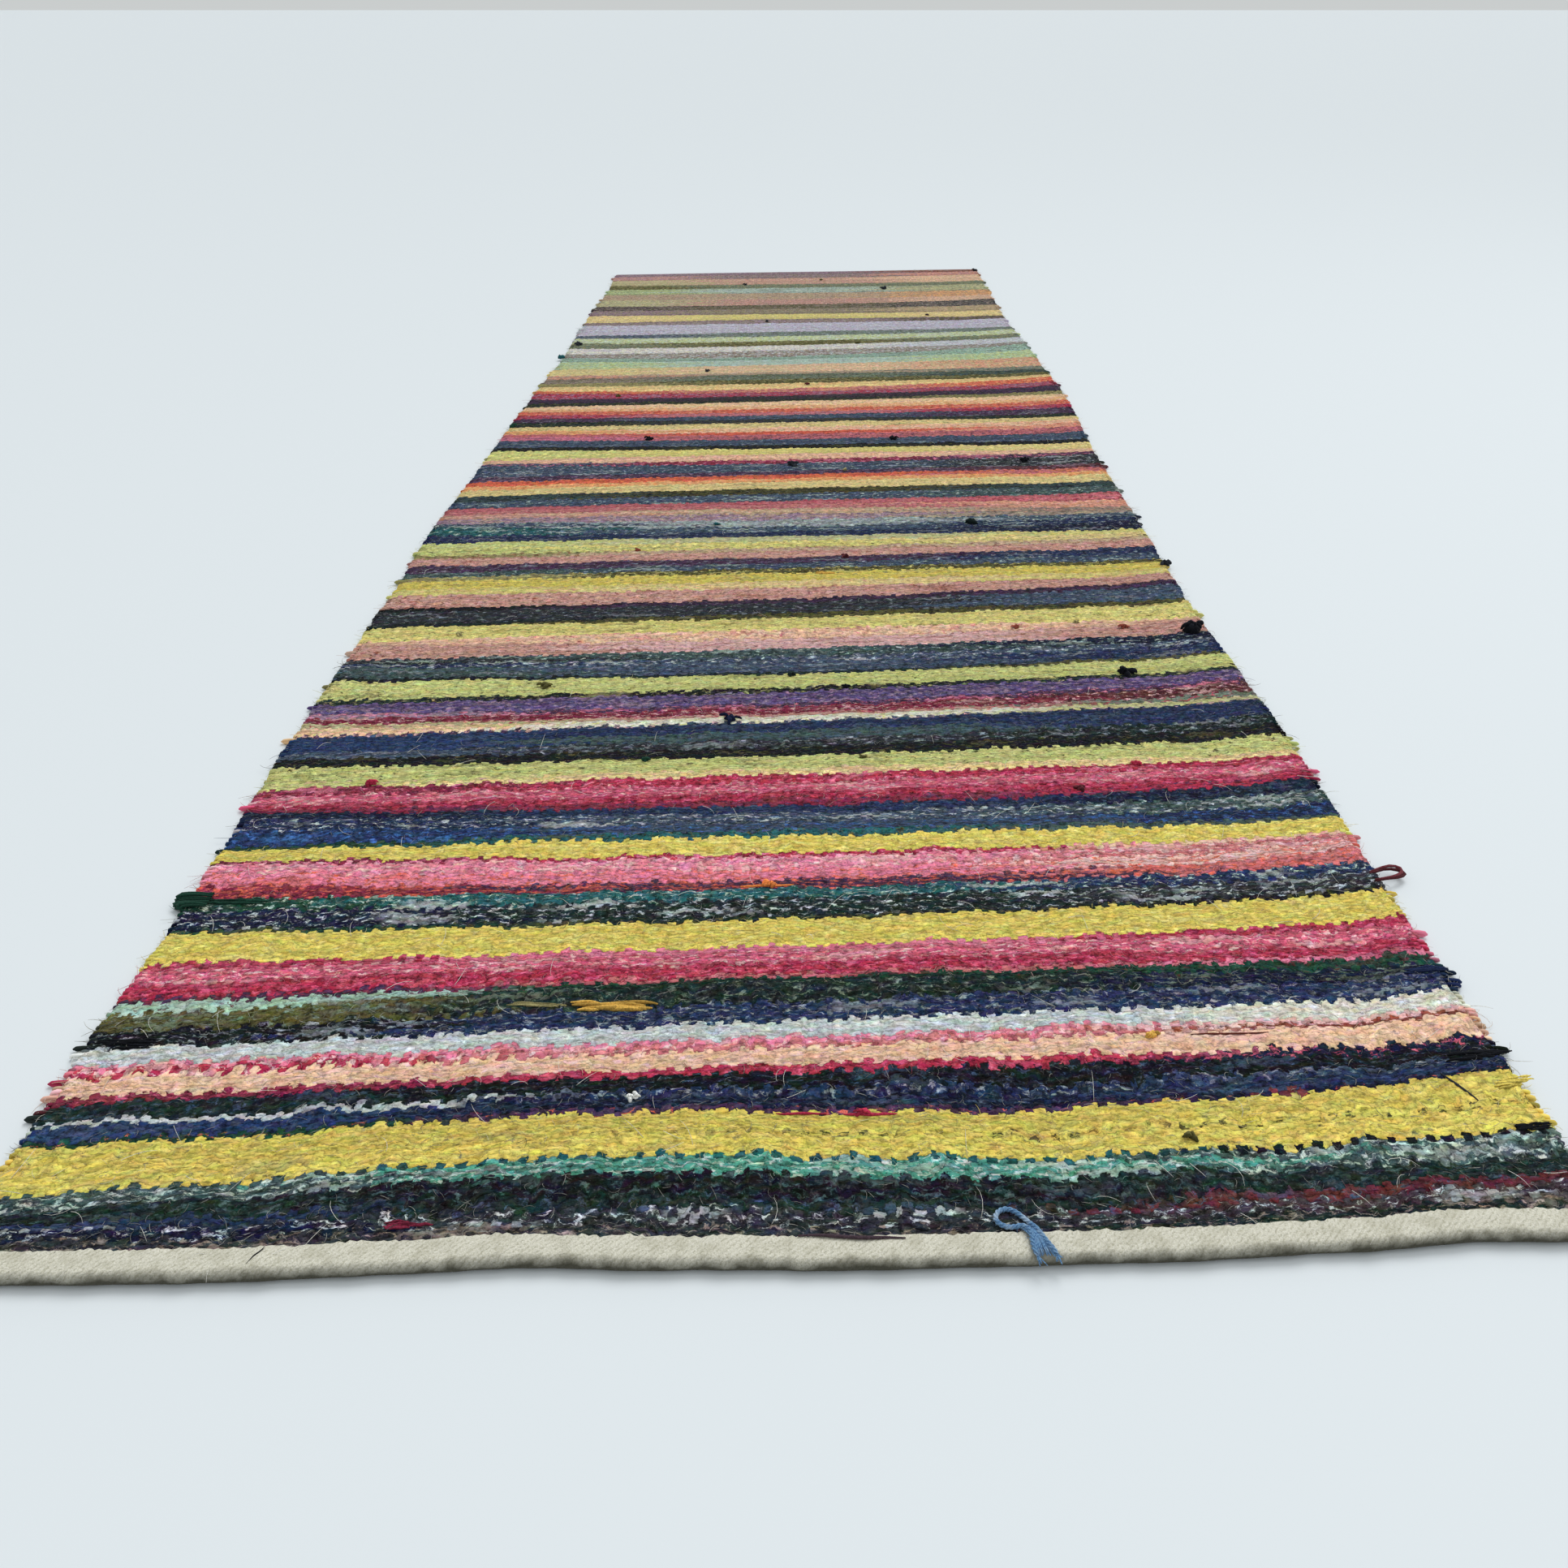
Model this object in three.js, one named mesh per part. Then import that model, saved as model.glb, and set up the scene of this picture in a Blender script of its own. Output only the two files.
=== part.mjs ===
// Flat-woven striped runner rug, lying open on a flat surface.
// Millimetres, +Z up, +Y along the runner away from its bound end, +X across it.
// The origin is under the middle of the runner's bounding box, on the surface that it lies on.
import * as THREE from "three";
import { mergeVertices } from "three/addons/utils/BufferGeometryUtils.js";

// Driving sizes
const WIDTH = 900; // over the ends of the binding
const LENGTH = 2830; // along the middle, from the binding's fold to the plain end
const WEB_THICKNESS = 5; // of the woven cloth
const NEAR_SKEW = 36; // how much further on the bound end lies at its right corner
const FAR_SKEW = 84; // the same for the plain end
const CLEARANCE = 0.3; // between pieces

// The binding: a tape folded over the cut end of the web
const BINDING_DEPTH = 18; // how far the tape reaches in from its fold
const BINDING_HEIGHT = 9.2;
const TAPE_THICKNESS = 1.6;
const TAPE_FALL = 10; // the crown starts to fall this far from the sewn edge
const TAPE_SHOULDER = 6; // and has its shoulder this far from it
const TAPE_SHOULDER_DROP = 0.45; // the shoulder's fall from the crown
const TAPE_EDGE_DROP = 0.9; // and that of the sewn edge's rounding
const TAPE_EDGE_ROUND = 1;
const BINDING_STEPS = 38;

// The web
const WEB_END_INSET = 6.5; // from the binding's fold to the cut end of the web inside it
const WEB_END_THICKNESS = 4.7; // pressed a little thinner between the two leaves of the tape
const RISE_START = 80; // distance from the fold at which the web starts to rise onto the tape
const RISE_END = 26;
const SURFACE_SWELL = 0.45; // how far the web's face rises and falls
const WEB_COLUMNS = 24;
const WEB_ROWS = 60;
const END_ROWS = 9; // closer rows beside the binding
const END_ROW_STEP = 11;

// The binding's fold isn't quite straight: how far it lies outside (+) or inside (-) its line
const FOLD_WAVE = [
  { across: -450, out: 0 },
  { across: -300, out: 2 },
  { across: -205, out: 0 },
  { across: -150, out: -2 },
  { across: -60, out: 2 },
  { across: 40, out: 5 },
  { across: 200, out: 5 },
  { across: 300, out: 2 },
  { across: 365, out: -2 },
  { across: 450, out: 0 },
];

// Neither selvedge is quite straight: how far each lies from the runner's middle line
const SELVEDGES = [
  { along: -1445, left: 447, right: 446 },
  { along: -1080, left: 443, right: 440 },
  { along: -880, left: 449, right: 441 },
  { along: -560, left: 449, right: 432 },
  { along: -400, left: 453, right: 435 },
  { along: -100, left: 447, right: 438 },
  { along: 300, left: 440, right: 453 },
  { along: 520, left: 433, right: 449 },
  { along: 880, left: 436, right: 438 },
  { along: 1120, left: 432, right: 441 },
  { along: 1445, left: 442, right: 446 },
];

// The tie: the middle line of its strand, from one free end round the loop to the other
const TIE_DIAMETER = 2.6;
const TIE_SIDES = 8;
const TIE_STEPS = 44;
const TIE_ROUTE = [
  { x: 127.8, y: -1425.6, z: 10.0 },
  { x: 126.6, y: -1422.2, z: 11.2 },
  { x: 126.2, y: -1418.2, z: 11.4 },
  { x: 126.3, y: -1413.4, z: 11.3 },
  { x: 125.2, y: -1409.6, z: 10.9 },
  { x: 122.6, y: -1407.2, z: 10.0 },
  { x: 118.8, y: -1407.1, z: 8.9 },
  { x: 114.6, y: -1406.8, z: 8.4 },
  { x: 110.6, y: -1404.4, z: 8.4 },
  { x: 109.4, y: -1400.6, z: 8.4 },
  { x: 111.8, y: -1396.8, z: 8.4 },
  { x: 116.2, y: -1395.4, z: 8.4 },
  { x: 120.6, y: -1397.2, z: 8.4 },
  { x: 124.2, y: -1400.8, z: 8.4 },
  { x: 127.2, y: -1404.6, z: 8.7 },
  { x: 129.6, y: -1408.8, z: 10.4 },
  { x: 131.4, y: -1413.0, z: 11.3 },
  { x: 133.6, y: -1417.6, z: 11.4 },
  { x: 136.0, y: -1421.6, z: 11.2 },
  { x: 138.3, y: -1425.0, z: 10.2 },
];

// Worked out from the sizes
const CENTRING = (FAR_SKEW - NEAR_SKEW) / 4;
const LEAF_GAP_BOTTOM = TAPE_THICKNESS; // of the space between the tape's two leaves
const WEB_END_BOTTOM = LEAF_GAP_BOTTOM + CLEARANCE;
const LEAF_GAP_TOP = WEB_END_BOTTOM + WEB_END_THICKNESS + CLEARANCE;

const smooth = (t) => {
  const c = Math.min(Math.max(t, 0), 1);
  return c * c * (3 - 2 * c);
};

// A column of one of the tables above, eased between its rows
function eased(table, place, column, at) {
  const last = table.length - 1;
  let i = 0;
  while (i < last - 1 && table[i + 1][place] < at) i += 1;
  const a = table[i];
  const b = table[i + 1];
  const t = smooth((at - a[place]) / (b[place] - a[place]));
  return a[column] + (b[column] - a[column]) * t;
}

const foldWave = (x) => eased(FOLD_WAVE, "across", "out", x);
const foldLine = (x) => -LENGTH / 2 - CENTRING + (NEAR_SKEW * x) / WIDTH - foldWave(x);
const farLine = (x) => LENGTH / 2 - CENTRING + (FAR_SKEW * x) / WIDTH;

// The rise and fall of the web's face
function faceSwell(x, y) {
  const along = Math.sin(y / 97 + 0.8 * Math.sin(x / 210));
  const across = Math.sin(x / 83 + y / 390);
  return SURFACE_SWELL * (0.6 * along + 0.4 * across);
}

// A unit box, finely divided, whose points are moved to the web's own shape
function wovenWeb() {
  const divided = new THREE.BoxGeometry(1, 1, 1, WEB_COLUMNS, WEB_ROWS, 1);
  divided.deleteAttribute("normal");
  divided.deleteAttribute("uv");
  const web = mergeVertices(divided);
  const point = web.attributes.position;
  const endZone = END_ROWS * END_ROW_STEP;
  for (let i = 0; i < point.count; i += 1) {
    const across = point.getX(i);
    const row = Math.round((point.getY(i) + 0.5) * WEB_ROWS);
    const top = point.getZ(i) > 0;
    const straightX = across * WIDTH;
    const start = foldLine(straightX) + WEB_END_INSET;
    const run = farLine(straightX) - start;
    const rest = (run - endZone) / (WEB_ROWS - END_ROWS);
    const along = row <= END_ROWS ? row * END_ROW_STEP : endZone + (row - END_ROWS) * rest;
    const y = start + along;
    const left = eased(SELVEDGES, "along", "left", y);
    const right = eased(SELVEDGES, "along", "right", y);
    const x = (right - left) / 2 + across * (left + right);
    const fromFold = along + WEB_END_INSET;
    const onTape = smooth((RISE_START - fromFold) / (RISE_START - RISE_END));
    const bottom = WEB_END_BOTTOM * onTape;
    const thickness = WEB_THICKNESS + (WEB_END_THICKNESS - WEB_THICKNESS) * onTape;
    const swell = faceSwell(x, y) * (1 - onTape);
    point.setXYZ(i, x, y, top ? bottom + thickness + swell : bottom);
  }
  return web;
}

// The tape's section, inward from the fold (x) and upward (y), folded round the web's cut end
function tapeSection() {
  const nose = BINDING_HEIGHT / 2;
  const insideRadius = (LEAF_GAP_TOP - LEAF_GAP_BOTTOM) / 2;
  const insideCentre = WEB_END_INSET - CLEARANCE;
  const section = new THREE.Shape();
  section.moveTo(BINDING_DEPTH, 0);
  section.lineTo(BINDING_DEPTH, LEAF_GAP_BOTTOM);
  section.lineTo(insideCentre, LEAF_GAP_BOTTOM);
  const insideY = LEAF_GAP_BOTTOM + insideRadius;
  section.absarc(insideCentre, insideY, insideRadius, -Math.PI / 2, Math.PI / 2, true);
  section.lineTo(BINDING_DEPTH, LEAF_GAP_TOP);
  section.quadraticCurveTo(
    BINDING_DEPTH - TAPE_EDGE_ROUND,
    BINDING_HEIGHT - TAPE_EDGE_DROP,
    BINDING_DEPTH - TAPE_SHOULDER,
    BINDING_HEIGHT - TAPE_SHOULDER_DROP,
  );
  section.quadraticCurveTo(BINDING_DEPTH - TAPE_FALL, BINDING_HEIGHT, nose, BINDING_HEIGHT);
  section.absarc(nose, nose, nose, Math.PI / 2, -Math.PI / 2, false);
  section.closePath();
  return section;
}

// The section drawn out across the runner, then set along the wavy fold
function foldedTape() {
  const straight = new THREE.ExtrudeGeometry(tapeSection(), {
    depth: WIDTH,
    steps: BINDING_STEPS,
    curveSegments: 6,
    bevelEnabled: false,
  });
  straight.deleteAttribute("normal");
  straight.deleteAttribute("uv");
  const tape = mergeVertices(straight);
  const point = tape.attributes.position;
  for (let i = 0; i < point.count; i += 1) {
    const x = point.getZ(i) - WIDTH / 2;
    point.setXYZ(i, x, foldLine(x) + point.getX(i), point.getY(i));
  }
  return tape;
}

// A round strand along the tie's route
function tieStrand() {
  const ring = new THREE.Shape();
  for (let i = 0; i < TIE_SIDES; i += 1) {
    const turn = (2 * Math.PI * i) / TIE_SIDES;
    const x = (TIE_DIAMETER / 2) * Math.cos(turn);
    const y = (TIE_DIAMETER / 2) * Math.sin(turn);
    if (i === 0) ring.moveTo(x, y);
    else ring.lineTo(x, y);
  }
  ring.closePath();
  const route = new THREE.CatmullRomCurve3(
    TIE_ROUTE.map((p) => new THREE.Vector3(p.x, p.y, p.z)),
  );
  return new THREE.ExtrudeGeometry(ring, { steps: TIE_STEPS, extrudePath: route });
}

function piece(name, geometry, material) {
  const mesh = new THREE.Mesh(geometry, new THREE.MeshStandardMaterial(material));
  mesh.name = name;
  return mesh;
}

const runner = new THREE.Group();
runner.add(
  piece("woven_field", wovenWeb(), { color: 0x8a7a5a, roughness: 0.95, metalness: 0 }),
  piece("end_binding", foldedTape(), { color: 0xcfcbb8, roughness: 0.9, metalness: 0 }),
  piece("yarn_tie", tieStrand(), { color: 0x3f78b8, roughness: 0.9, metalness: 0 }),
);

export default runner;
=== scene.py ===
"""A flat-woven striped runner rug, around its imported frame. Metres, +Z up, +Y along the runner.

Sizes below are in millimetres, as on a weaver's chart, and MM turns them into the frame's metres.
"""

import math
from collections import namedtuple

import bmesh
import bpy
import numpy as np
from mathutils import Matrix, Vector


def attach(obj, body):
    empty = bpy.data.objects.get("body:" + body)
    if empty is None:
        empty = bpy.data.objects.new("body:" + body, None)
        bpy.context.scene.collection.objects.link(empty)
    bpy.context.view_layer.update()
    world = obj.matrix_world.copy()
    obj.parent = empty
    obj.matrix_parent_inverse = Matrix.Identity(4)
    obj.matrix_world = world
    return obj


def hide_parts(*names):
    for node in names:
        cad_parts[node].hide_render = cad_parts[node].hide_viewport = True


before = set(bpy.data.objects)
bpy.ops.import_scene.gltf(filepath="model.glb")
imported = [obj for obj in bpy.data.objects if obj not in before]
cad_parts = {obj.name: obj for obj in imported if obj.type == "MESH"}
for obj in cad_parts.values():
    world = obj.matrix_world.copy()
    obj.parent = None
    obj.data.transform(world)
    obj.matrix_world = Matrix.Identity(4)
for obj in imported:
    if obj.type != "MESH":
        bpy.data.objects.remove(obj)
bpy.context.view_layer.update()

MM = 0.001

# Driving sizes, as in the frame
WIDTH = 900  # over the ends of the tape
LENGTH = 2830  # along the middle, from the tape's fold to the plain end
NEAR_SKEW = 36  # how much further on the bound end lies at its right corner
FAR_SKEW = 84  # the same for the plain end
CENTRING = (FAR_SKEW - NEAR_SKEW) / 4
CLEARANCE = 0.3  # between the web and the tape
BINDING_DEPTH = 18  # how far the tape reaches in from its fold
BINDING_HEIGHT = 9.2
TAPE_THICKNESS = 1.6
WEB_THICKNESS = 5
WEB_END_INSET = 6.5  # from the tape's fold to the cut end of the web inside it
WEB_END_BOTTOM = TAPE_THICKNESS + CLEARANCE
WEB_END_THICKNESS = 4.7  # pressed a little thinner between the two leaves of the tape
LEAF_GAP_TOP = WEB_END_BOTTOM + WEB_END_THICKNESS + CLEARANCE
RISE_START = 80  # distance from the fold at which the web starts to rise onto the tape
RISE_END = 26
SURFACE_SWELL = 0.45  # how far the web's face rises and falls

# The fold isn't quite straight: how far it lies outside (+) or inside (-) its line
FOLD_WAVE_ACROSS = (-450, -300, -205, -150, -60, 40, 200, 300, 365, 450)
FOLD_WAVE_OUT = (0, 2, 0, -2, 2, 5, 5, 2, -2, 0)

# Neither selvedge is quite straight: how far each lies from the runner's middle line
SELVEDGE_ALONG = (-1445, -1080, -880, -560, -400, -100, 300, 520, 880, 1120, 1445)
SELVEDGE_LEFT = (447, 443, 449, 449, 453, 447, 440, 433, 436, 432, 442)
SELVEDGE_RIGHT = (446, 440, 441, 432, 435, 438, 453, 449, 438, 441, 446)
MEAN_HALF_WIDTH = 445

# The weave
WARPS = 160  # warp threads across the runner
PICK_ADVANCE = 2.0  # how far one pick of weft moves the cloth on
WEAVE_RELIEF = 0.42  # a weft's rise over a warp
DIP_SHARE = 0.35  # its fall between two warps, as a share of that
RIB_RISE = 0.4  # how far the middle of a band of one yarn stands proud
FULL_RIB_PICKS = 8  # a band of fewer picks stands less proud
RIPPLE = 1.25  # how far the beaten wefts wave
WARP_WANDER = 0.12  # how unevenly the warps are spaced, as a share of that spacing
SETTLING_PICKS = 22  # picks by either end over which the wefts come to lie along it
EDGE_WANDER = 2.6  # how far a selvedge is drawn in or pushed out
EDGE_BEND_PICKS = 7  # picks from one bend of a selvedge to the next
EDGE_REACH = 14  # how far in from it the cloth is moved with it
SELVEDGE_ROUNDING = 1.2  # how far the face and the underside stop short of the selvedge
SELVEDGE_BULGE = np.array([-0.3, 0.6, -0.3])  # of the points of its rounded side
SELVEDGE_HEIGHTS = np.array([0.8, 0.5, 0.2])  # of the same points, as a share of the thickness

# The mesh of the cloth
CLOSE_PICKS = 132  # picks by the bound end whose relief is in the mesh
FADING_PICKS = 30  # the last of them, over which it fades
OPEN_STEP = 2.75  # picks from one row of the mesh to the next beyond them
CLOSE_COLUMNS = 2 * WARPS  # across the face in the close rows
OPEN_COLUMNS = CLOSE_COLUMNS // 4
UNDERSIDE_COLUMNS = 16
WEAVE_EDGE = 0.001  # how far inside the outer warps the cloth's places in the weave stay

# The wefts by the tape follow it up and down, less and less up to where they lie straight
WEFT_WAVE_ACROSS = (-450, -316, -200, -86, 30, 144, 260, 374, 450)
WEFT_WAVE_UP = (0, 1, 6, 7, 0, -7, -3, 1, 0)
WAVE_FADES = (505, 550)  # between these two places on the middle ruler
RIGHT_UPTURN = 8  # the wefts turn up this far at the right selvedge
UPTURN_START = 350  # and start to turn this far to the right

# The chart was read on three rulers laid along the runner, all with their zero on one line
RULER_ZERO = -1830
MIDDLE_RULER = -2
RULER_SPACING = 400
FIRST_EDGE = (389, 403.5, 425.5)
RAMP_STOPS = 32  # the most stripes on one colour ramp
RAMP_STEPS = 255  # the most picks on one

# The parts of the width over which the left yarn gives way to the middle one, and that to the right
LEFT_GIVES_WAY = (0.20, 0.26)
RIGHT_TAKES_OVER = (0.70, 0.77)
YARN_MEETINGS = (0.24, 0.73)  # where the loose hairs change yarn

# The camera: the photograph's own place and angle over the bound end
CAMERA_PLACE = (-0.0004, -1.82905, 0.5573)
CAMERA_PITCH = 32.5775  # degrees below the horizon
CAMERA_TURN = 0.5177  # degrees towards the left
LENS = 27.95  # on a 36 mm frame
CAMERA_SHIFT = (-0.00026, 0.00104)  # the picture's middle lies this far off the lens's axis

# The lights and the floor
SKY_COLOUR = "#F6FAFA"
SKY_STRENGTH = 0.64
DAYLIGHT = 1.4
DAYLIGHT_SPREAD = 32  # degrees
DAYLIGHT_TILT = (-38, 14)  # degrees, towards the far end and to the right
SIDE_LAMP_POWER = 22
SIDE_LAMP_SIZE = 1.6
SIDE_LAMP_PLACE = (3.2, -0.9, 3.4)
SIDE_LAMP_AIM = (0, -1, 0)
FLOOR_COLOUR = "#E0E6EA"
FLOOR_REACH = 400

# Patterns of the yarn, in repeats to one warp across (5.6 mm) and one pick along (2 mm)
FIBRE_SCALE = (3.0, 5.0, 1.0)  # fibres 1.9 mm long
SLUB_SCALE = (0.42, 0.8, 1.0)  # thick and thin lengths of 13 mm
ROUGH_SCALE = (1.5, 0.75, 1.0)  # rough spots 3 mm across
DRIFT_SCALE = (0.3, 0.35, 1.0)  # changes of shade over 18 mm
TUFT_SCALE = (0.8, 0.3, 1.0)  # tufts and hollows 7 mm long
YARN_WANDERS = (  # of the floats' outlines and of the rows of picks: their scale, and their reach
    ((1.1, 0.6, 1.0), (0.9, 1.7)),
    ((0.22, 0.09, 1.0), (0.0, 5.5)),
)

# Shades of the yarn, in shares of its own colour: painted shade in its gaps, hollows and pits, and
# painted light on its tufts
GAP_SHADE = 0.4  # in the gaps where a weft dives between two warps
HOLLOW_SHADE = 0.42
PIT_SHADE = 0.35
LIT_TUFT = 1.45
YARN_LIFT = 1.3
FAR_YARN_LIFT = YARN_LIFT * 0.83
FAR_DARKENING_PICKS = (120.0, 420.0)  # the picks between which the one passes into the other
MEAN_TONE = 0.8
LOFTY_SHARE = 0.42  # how much of its shading the palest yarn loses
BLOOM = 0.1  # of loose fibre

# Patterns of the tape, in repeats to a millimetre
TAPE_BEND_SCALE = 0.35
TWILL_SCALE = 0.155  # ribs 2.9 mm apart, as coarse as they need to be to show
TAPE_THREAD_SCALE = 1.1
RIB_BREAK_SCALE = 0.5
TAPE_SOIL_SCALE = 0.08

# The folded tape
TAPE_COLUMNS = 450
TAPE_CENTRE = (9, 4.6)  # of its section, inward from the fold and upward
TAPE_TOP = (  # its crown, from the sewn edge to the fold
    (17.9, 7.7),
    (17.2, 8.25),
    (15.5, 8.5),
    (13.5, 8.65),
    (12, 8.8),
    (10.5, 9.0),
    (9, 9.12),
    (7.5, 9.18),
    (6, 9.2),
)
NOSE_STEPS = 12
POCKET_STEPS = 6
SEAM_INSET = 15.5  # where the stitches pull it down
SEAM_REACH = 1.8
SEAM_DENT = 0.35
DENT_COLUMNS = 3
RAGGEDNESS = 0.45  # of the sewn edge
END_TUCK = 0.25  # how far its two ends are drawn in
END_TUCK_REACH = 5
TAPE_FACE = 9.1  # the height of its face, where yarn lies on it

# The tie, and its patterns in repeats to a millimetre
TIE_STEPS = 110
PLY_RADIUS = 0.8
PLY_OFFSET = 0.72
PLY_PITCH = 8
TIE_FIBRE_SCALE = 1.1
TIE_FADE_SCALE = 0.09
TAIL_TOPS = (28, 80)  # the steps at which its two tails come out of the loop
TAIL_MIDDLES = (14, 96)
TAIL_FIBRES = 13
TIP_FIBRES = 9
TIE_HAIRS = 60

# Loose hairs
NEAR_HAIRS = 6400
FAR_HAIRS = 4200
EDGE_HAIRS = 3800
FUZZ_MEETING = 330  # the pick at which the near ones give way to the far ones
STRAY_SHARE = 0.035  # of long pale ones
STRAY_COLOUR = "#E4E2DA"
PALE_FIBRE = "#C9C7BE"  # mixed into the colour of the other hairs on the face
PALE_EDGE_FIBRE = "#D4D2C4"  # and of those at the selvedges
HAIR_TAPER = np.array([1, 1, 0.9, 0.75, 0.4])  # from its root to its tip
HAIR_SIDES = 3
ROOT_DEPTH = 0.5

# The weft's turns round the selvedges
TURN_DEPTH = 2.6  # how far in from the selvedge their ends lie
TURN_TAPER = np.array([0.8, 1, 1, 1, 1, 1, 0.8])
TURN_SIDES = 6
SLACK_PICKS = 9  # from one slacker place to the next
LOOPY_SHARE = 0.06  # of turns that stand out as loops

# Yarn ends
KNOT_LENGTHS = 4  # the crossed lengths of a knot
KNOT_ENDS = 7
END_STEPS = 12
END_SIDES = 7
FIBRES_OF_SLUB = 14
TIGHT_SLUB = 1.5  # a slub thinner than this is a single fibre
HIGHEST_END = 18  # above the floor
LOOP_STRANDS = 3
RIGHT_LOOP = (  # the weft's slack loop at the right selvedge
    (436, -1094, 5),
    (446, -1093, 7),
    (458, -1088, 6),
    (463, -1081, 4),
    (458, -1077, 5),
    (447, -1080, 7),
    (436, -1083, 5),
)
LEFT_TURNS = 9  # slack turns of dark green weft at the left selvedge
LEFT_TURNS_ALONG = -1134
LEFT_TURN_STEP = 1.9
LEFT_TURNS_REACH = 13

# Dyed and heathered wools of the weft
YARNS = {
    "ink": "#14161C",
    "black green": "#1A2727",
    "charcoal": "#2C2F36",
    "navy": "#222E50",
    "deep navy": "#161D36",
    "slate": "#3E4C62",
    "slate green": "#3E5052",
    "grey green": "#6E7A6C",
    "blue": "#24375F",
    "bright blue": "#3F68A6",
    "teal": "#23555A",
    "sea green": "#4A8F80",
    "mint": "#A3BFB0",
    "pale mint": "#BCCBC2",
    "bottle green": "#1D3F33",
    "olive": "#54512F",
    "khaki": "#938B60",
    "pale khaki": "#C2BC90",
    "bright yellow": "#DAC662",
    "pale yellow": "#E0D382",
    "yellow green": "#CDCE84",
    "lime": "#C2CC92",
    "peach yellow": "#E8D092",
    "ochre": "#C69D4C",
    "apricot": "#E6AC78",
    "orange": "#DC7F44",
    "coral": "#D4624E",
    "red brown": "#87463A",
    "maroon": "#58292F",
    "crimson": "#A42F48",
    "dark crimson": "#7E2A40",
    "plum": "#452F4A",
    "plum brown": "#40333A",
    "hot pink": "#C75974",
    "rose": "#DC7E96",
    "old rose": "#C06E74",
    "pale pink": "#E6B8B6",
    "dusty pink": "#CC9C90",
    "salmon": "#DC9C84",
    "peach": "#ECC0A2",
    "tan": "#C2A88C",
    "taupe": "#908278",
    "mauve": "#93798C",
    "lilac": "#BDB2C8",
    "violet": "#564776",
    "grey": "#8C9298",
    "pale grey": "#C6CCCE",
    "cream": "#E0DCCE",
    "white": "#E8EAE8",
}

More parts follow.
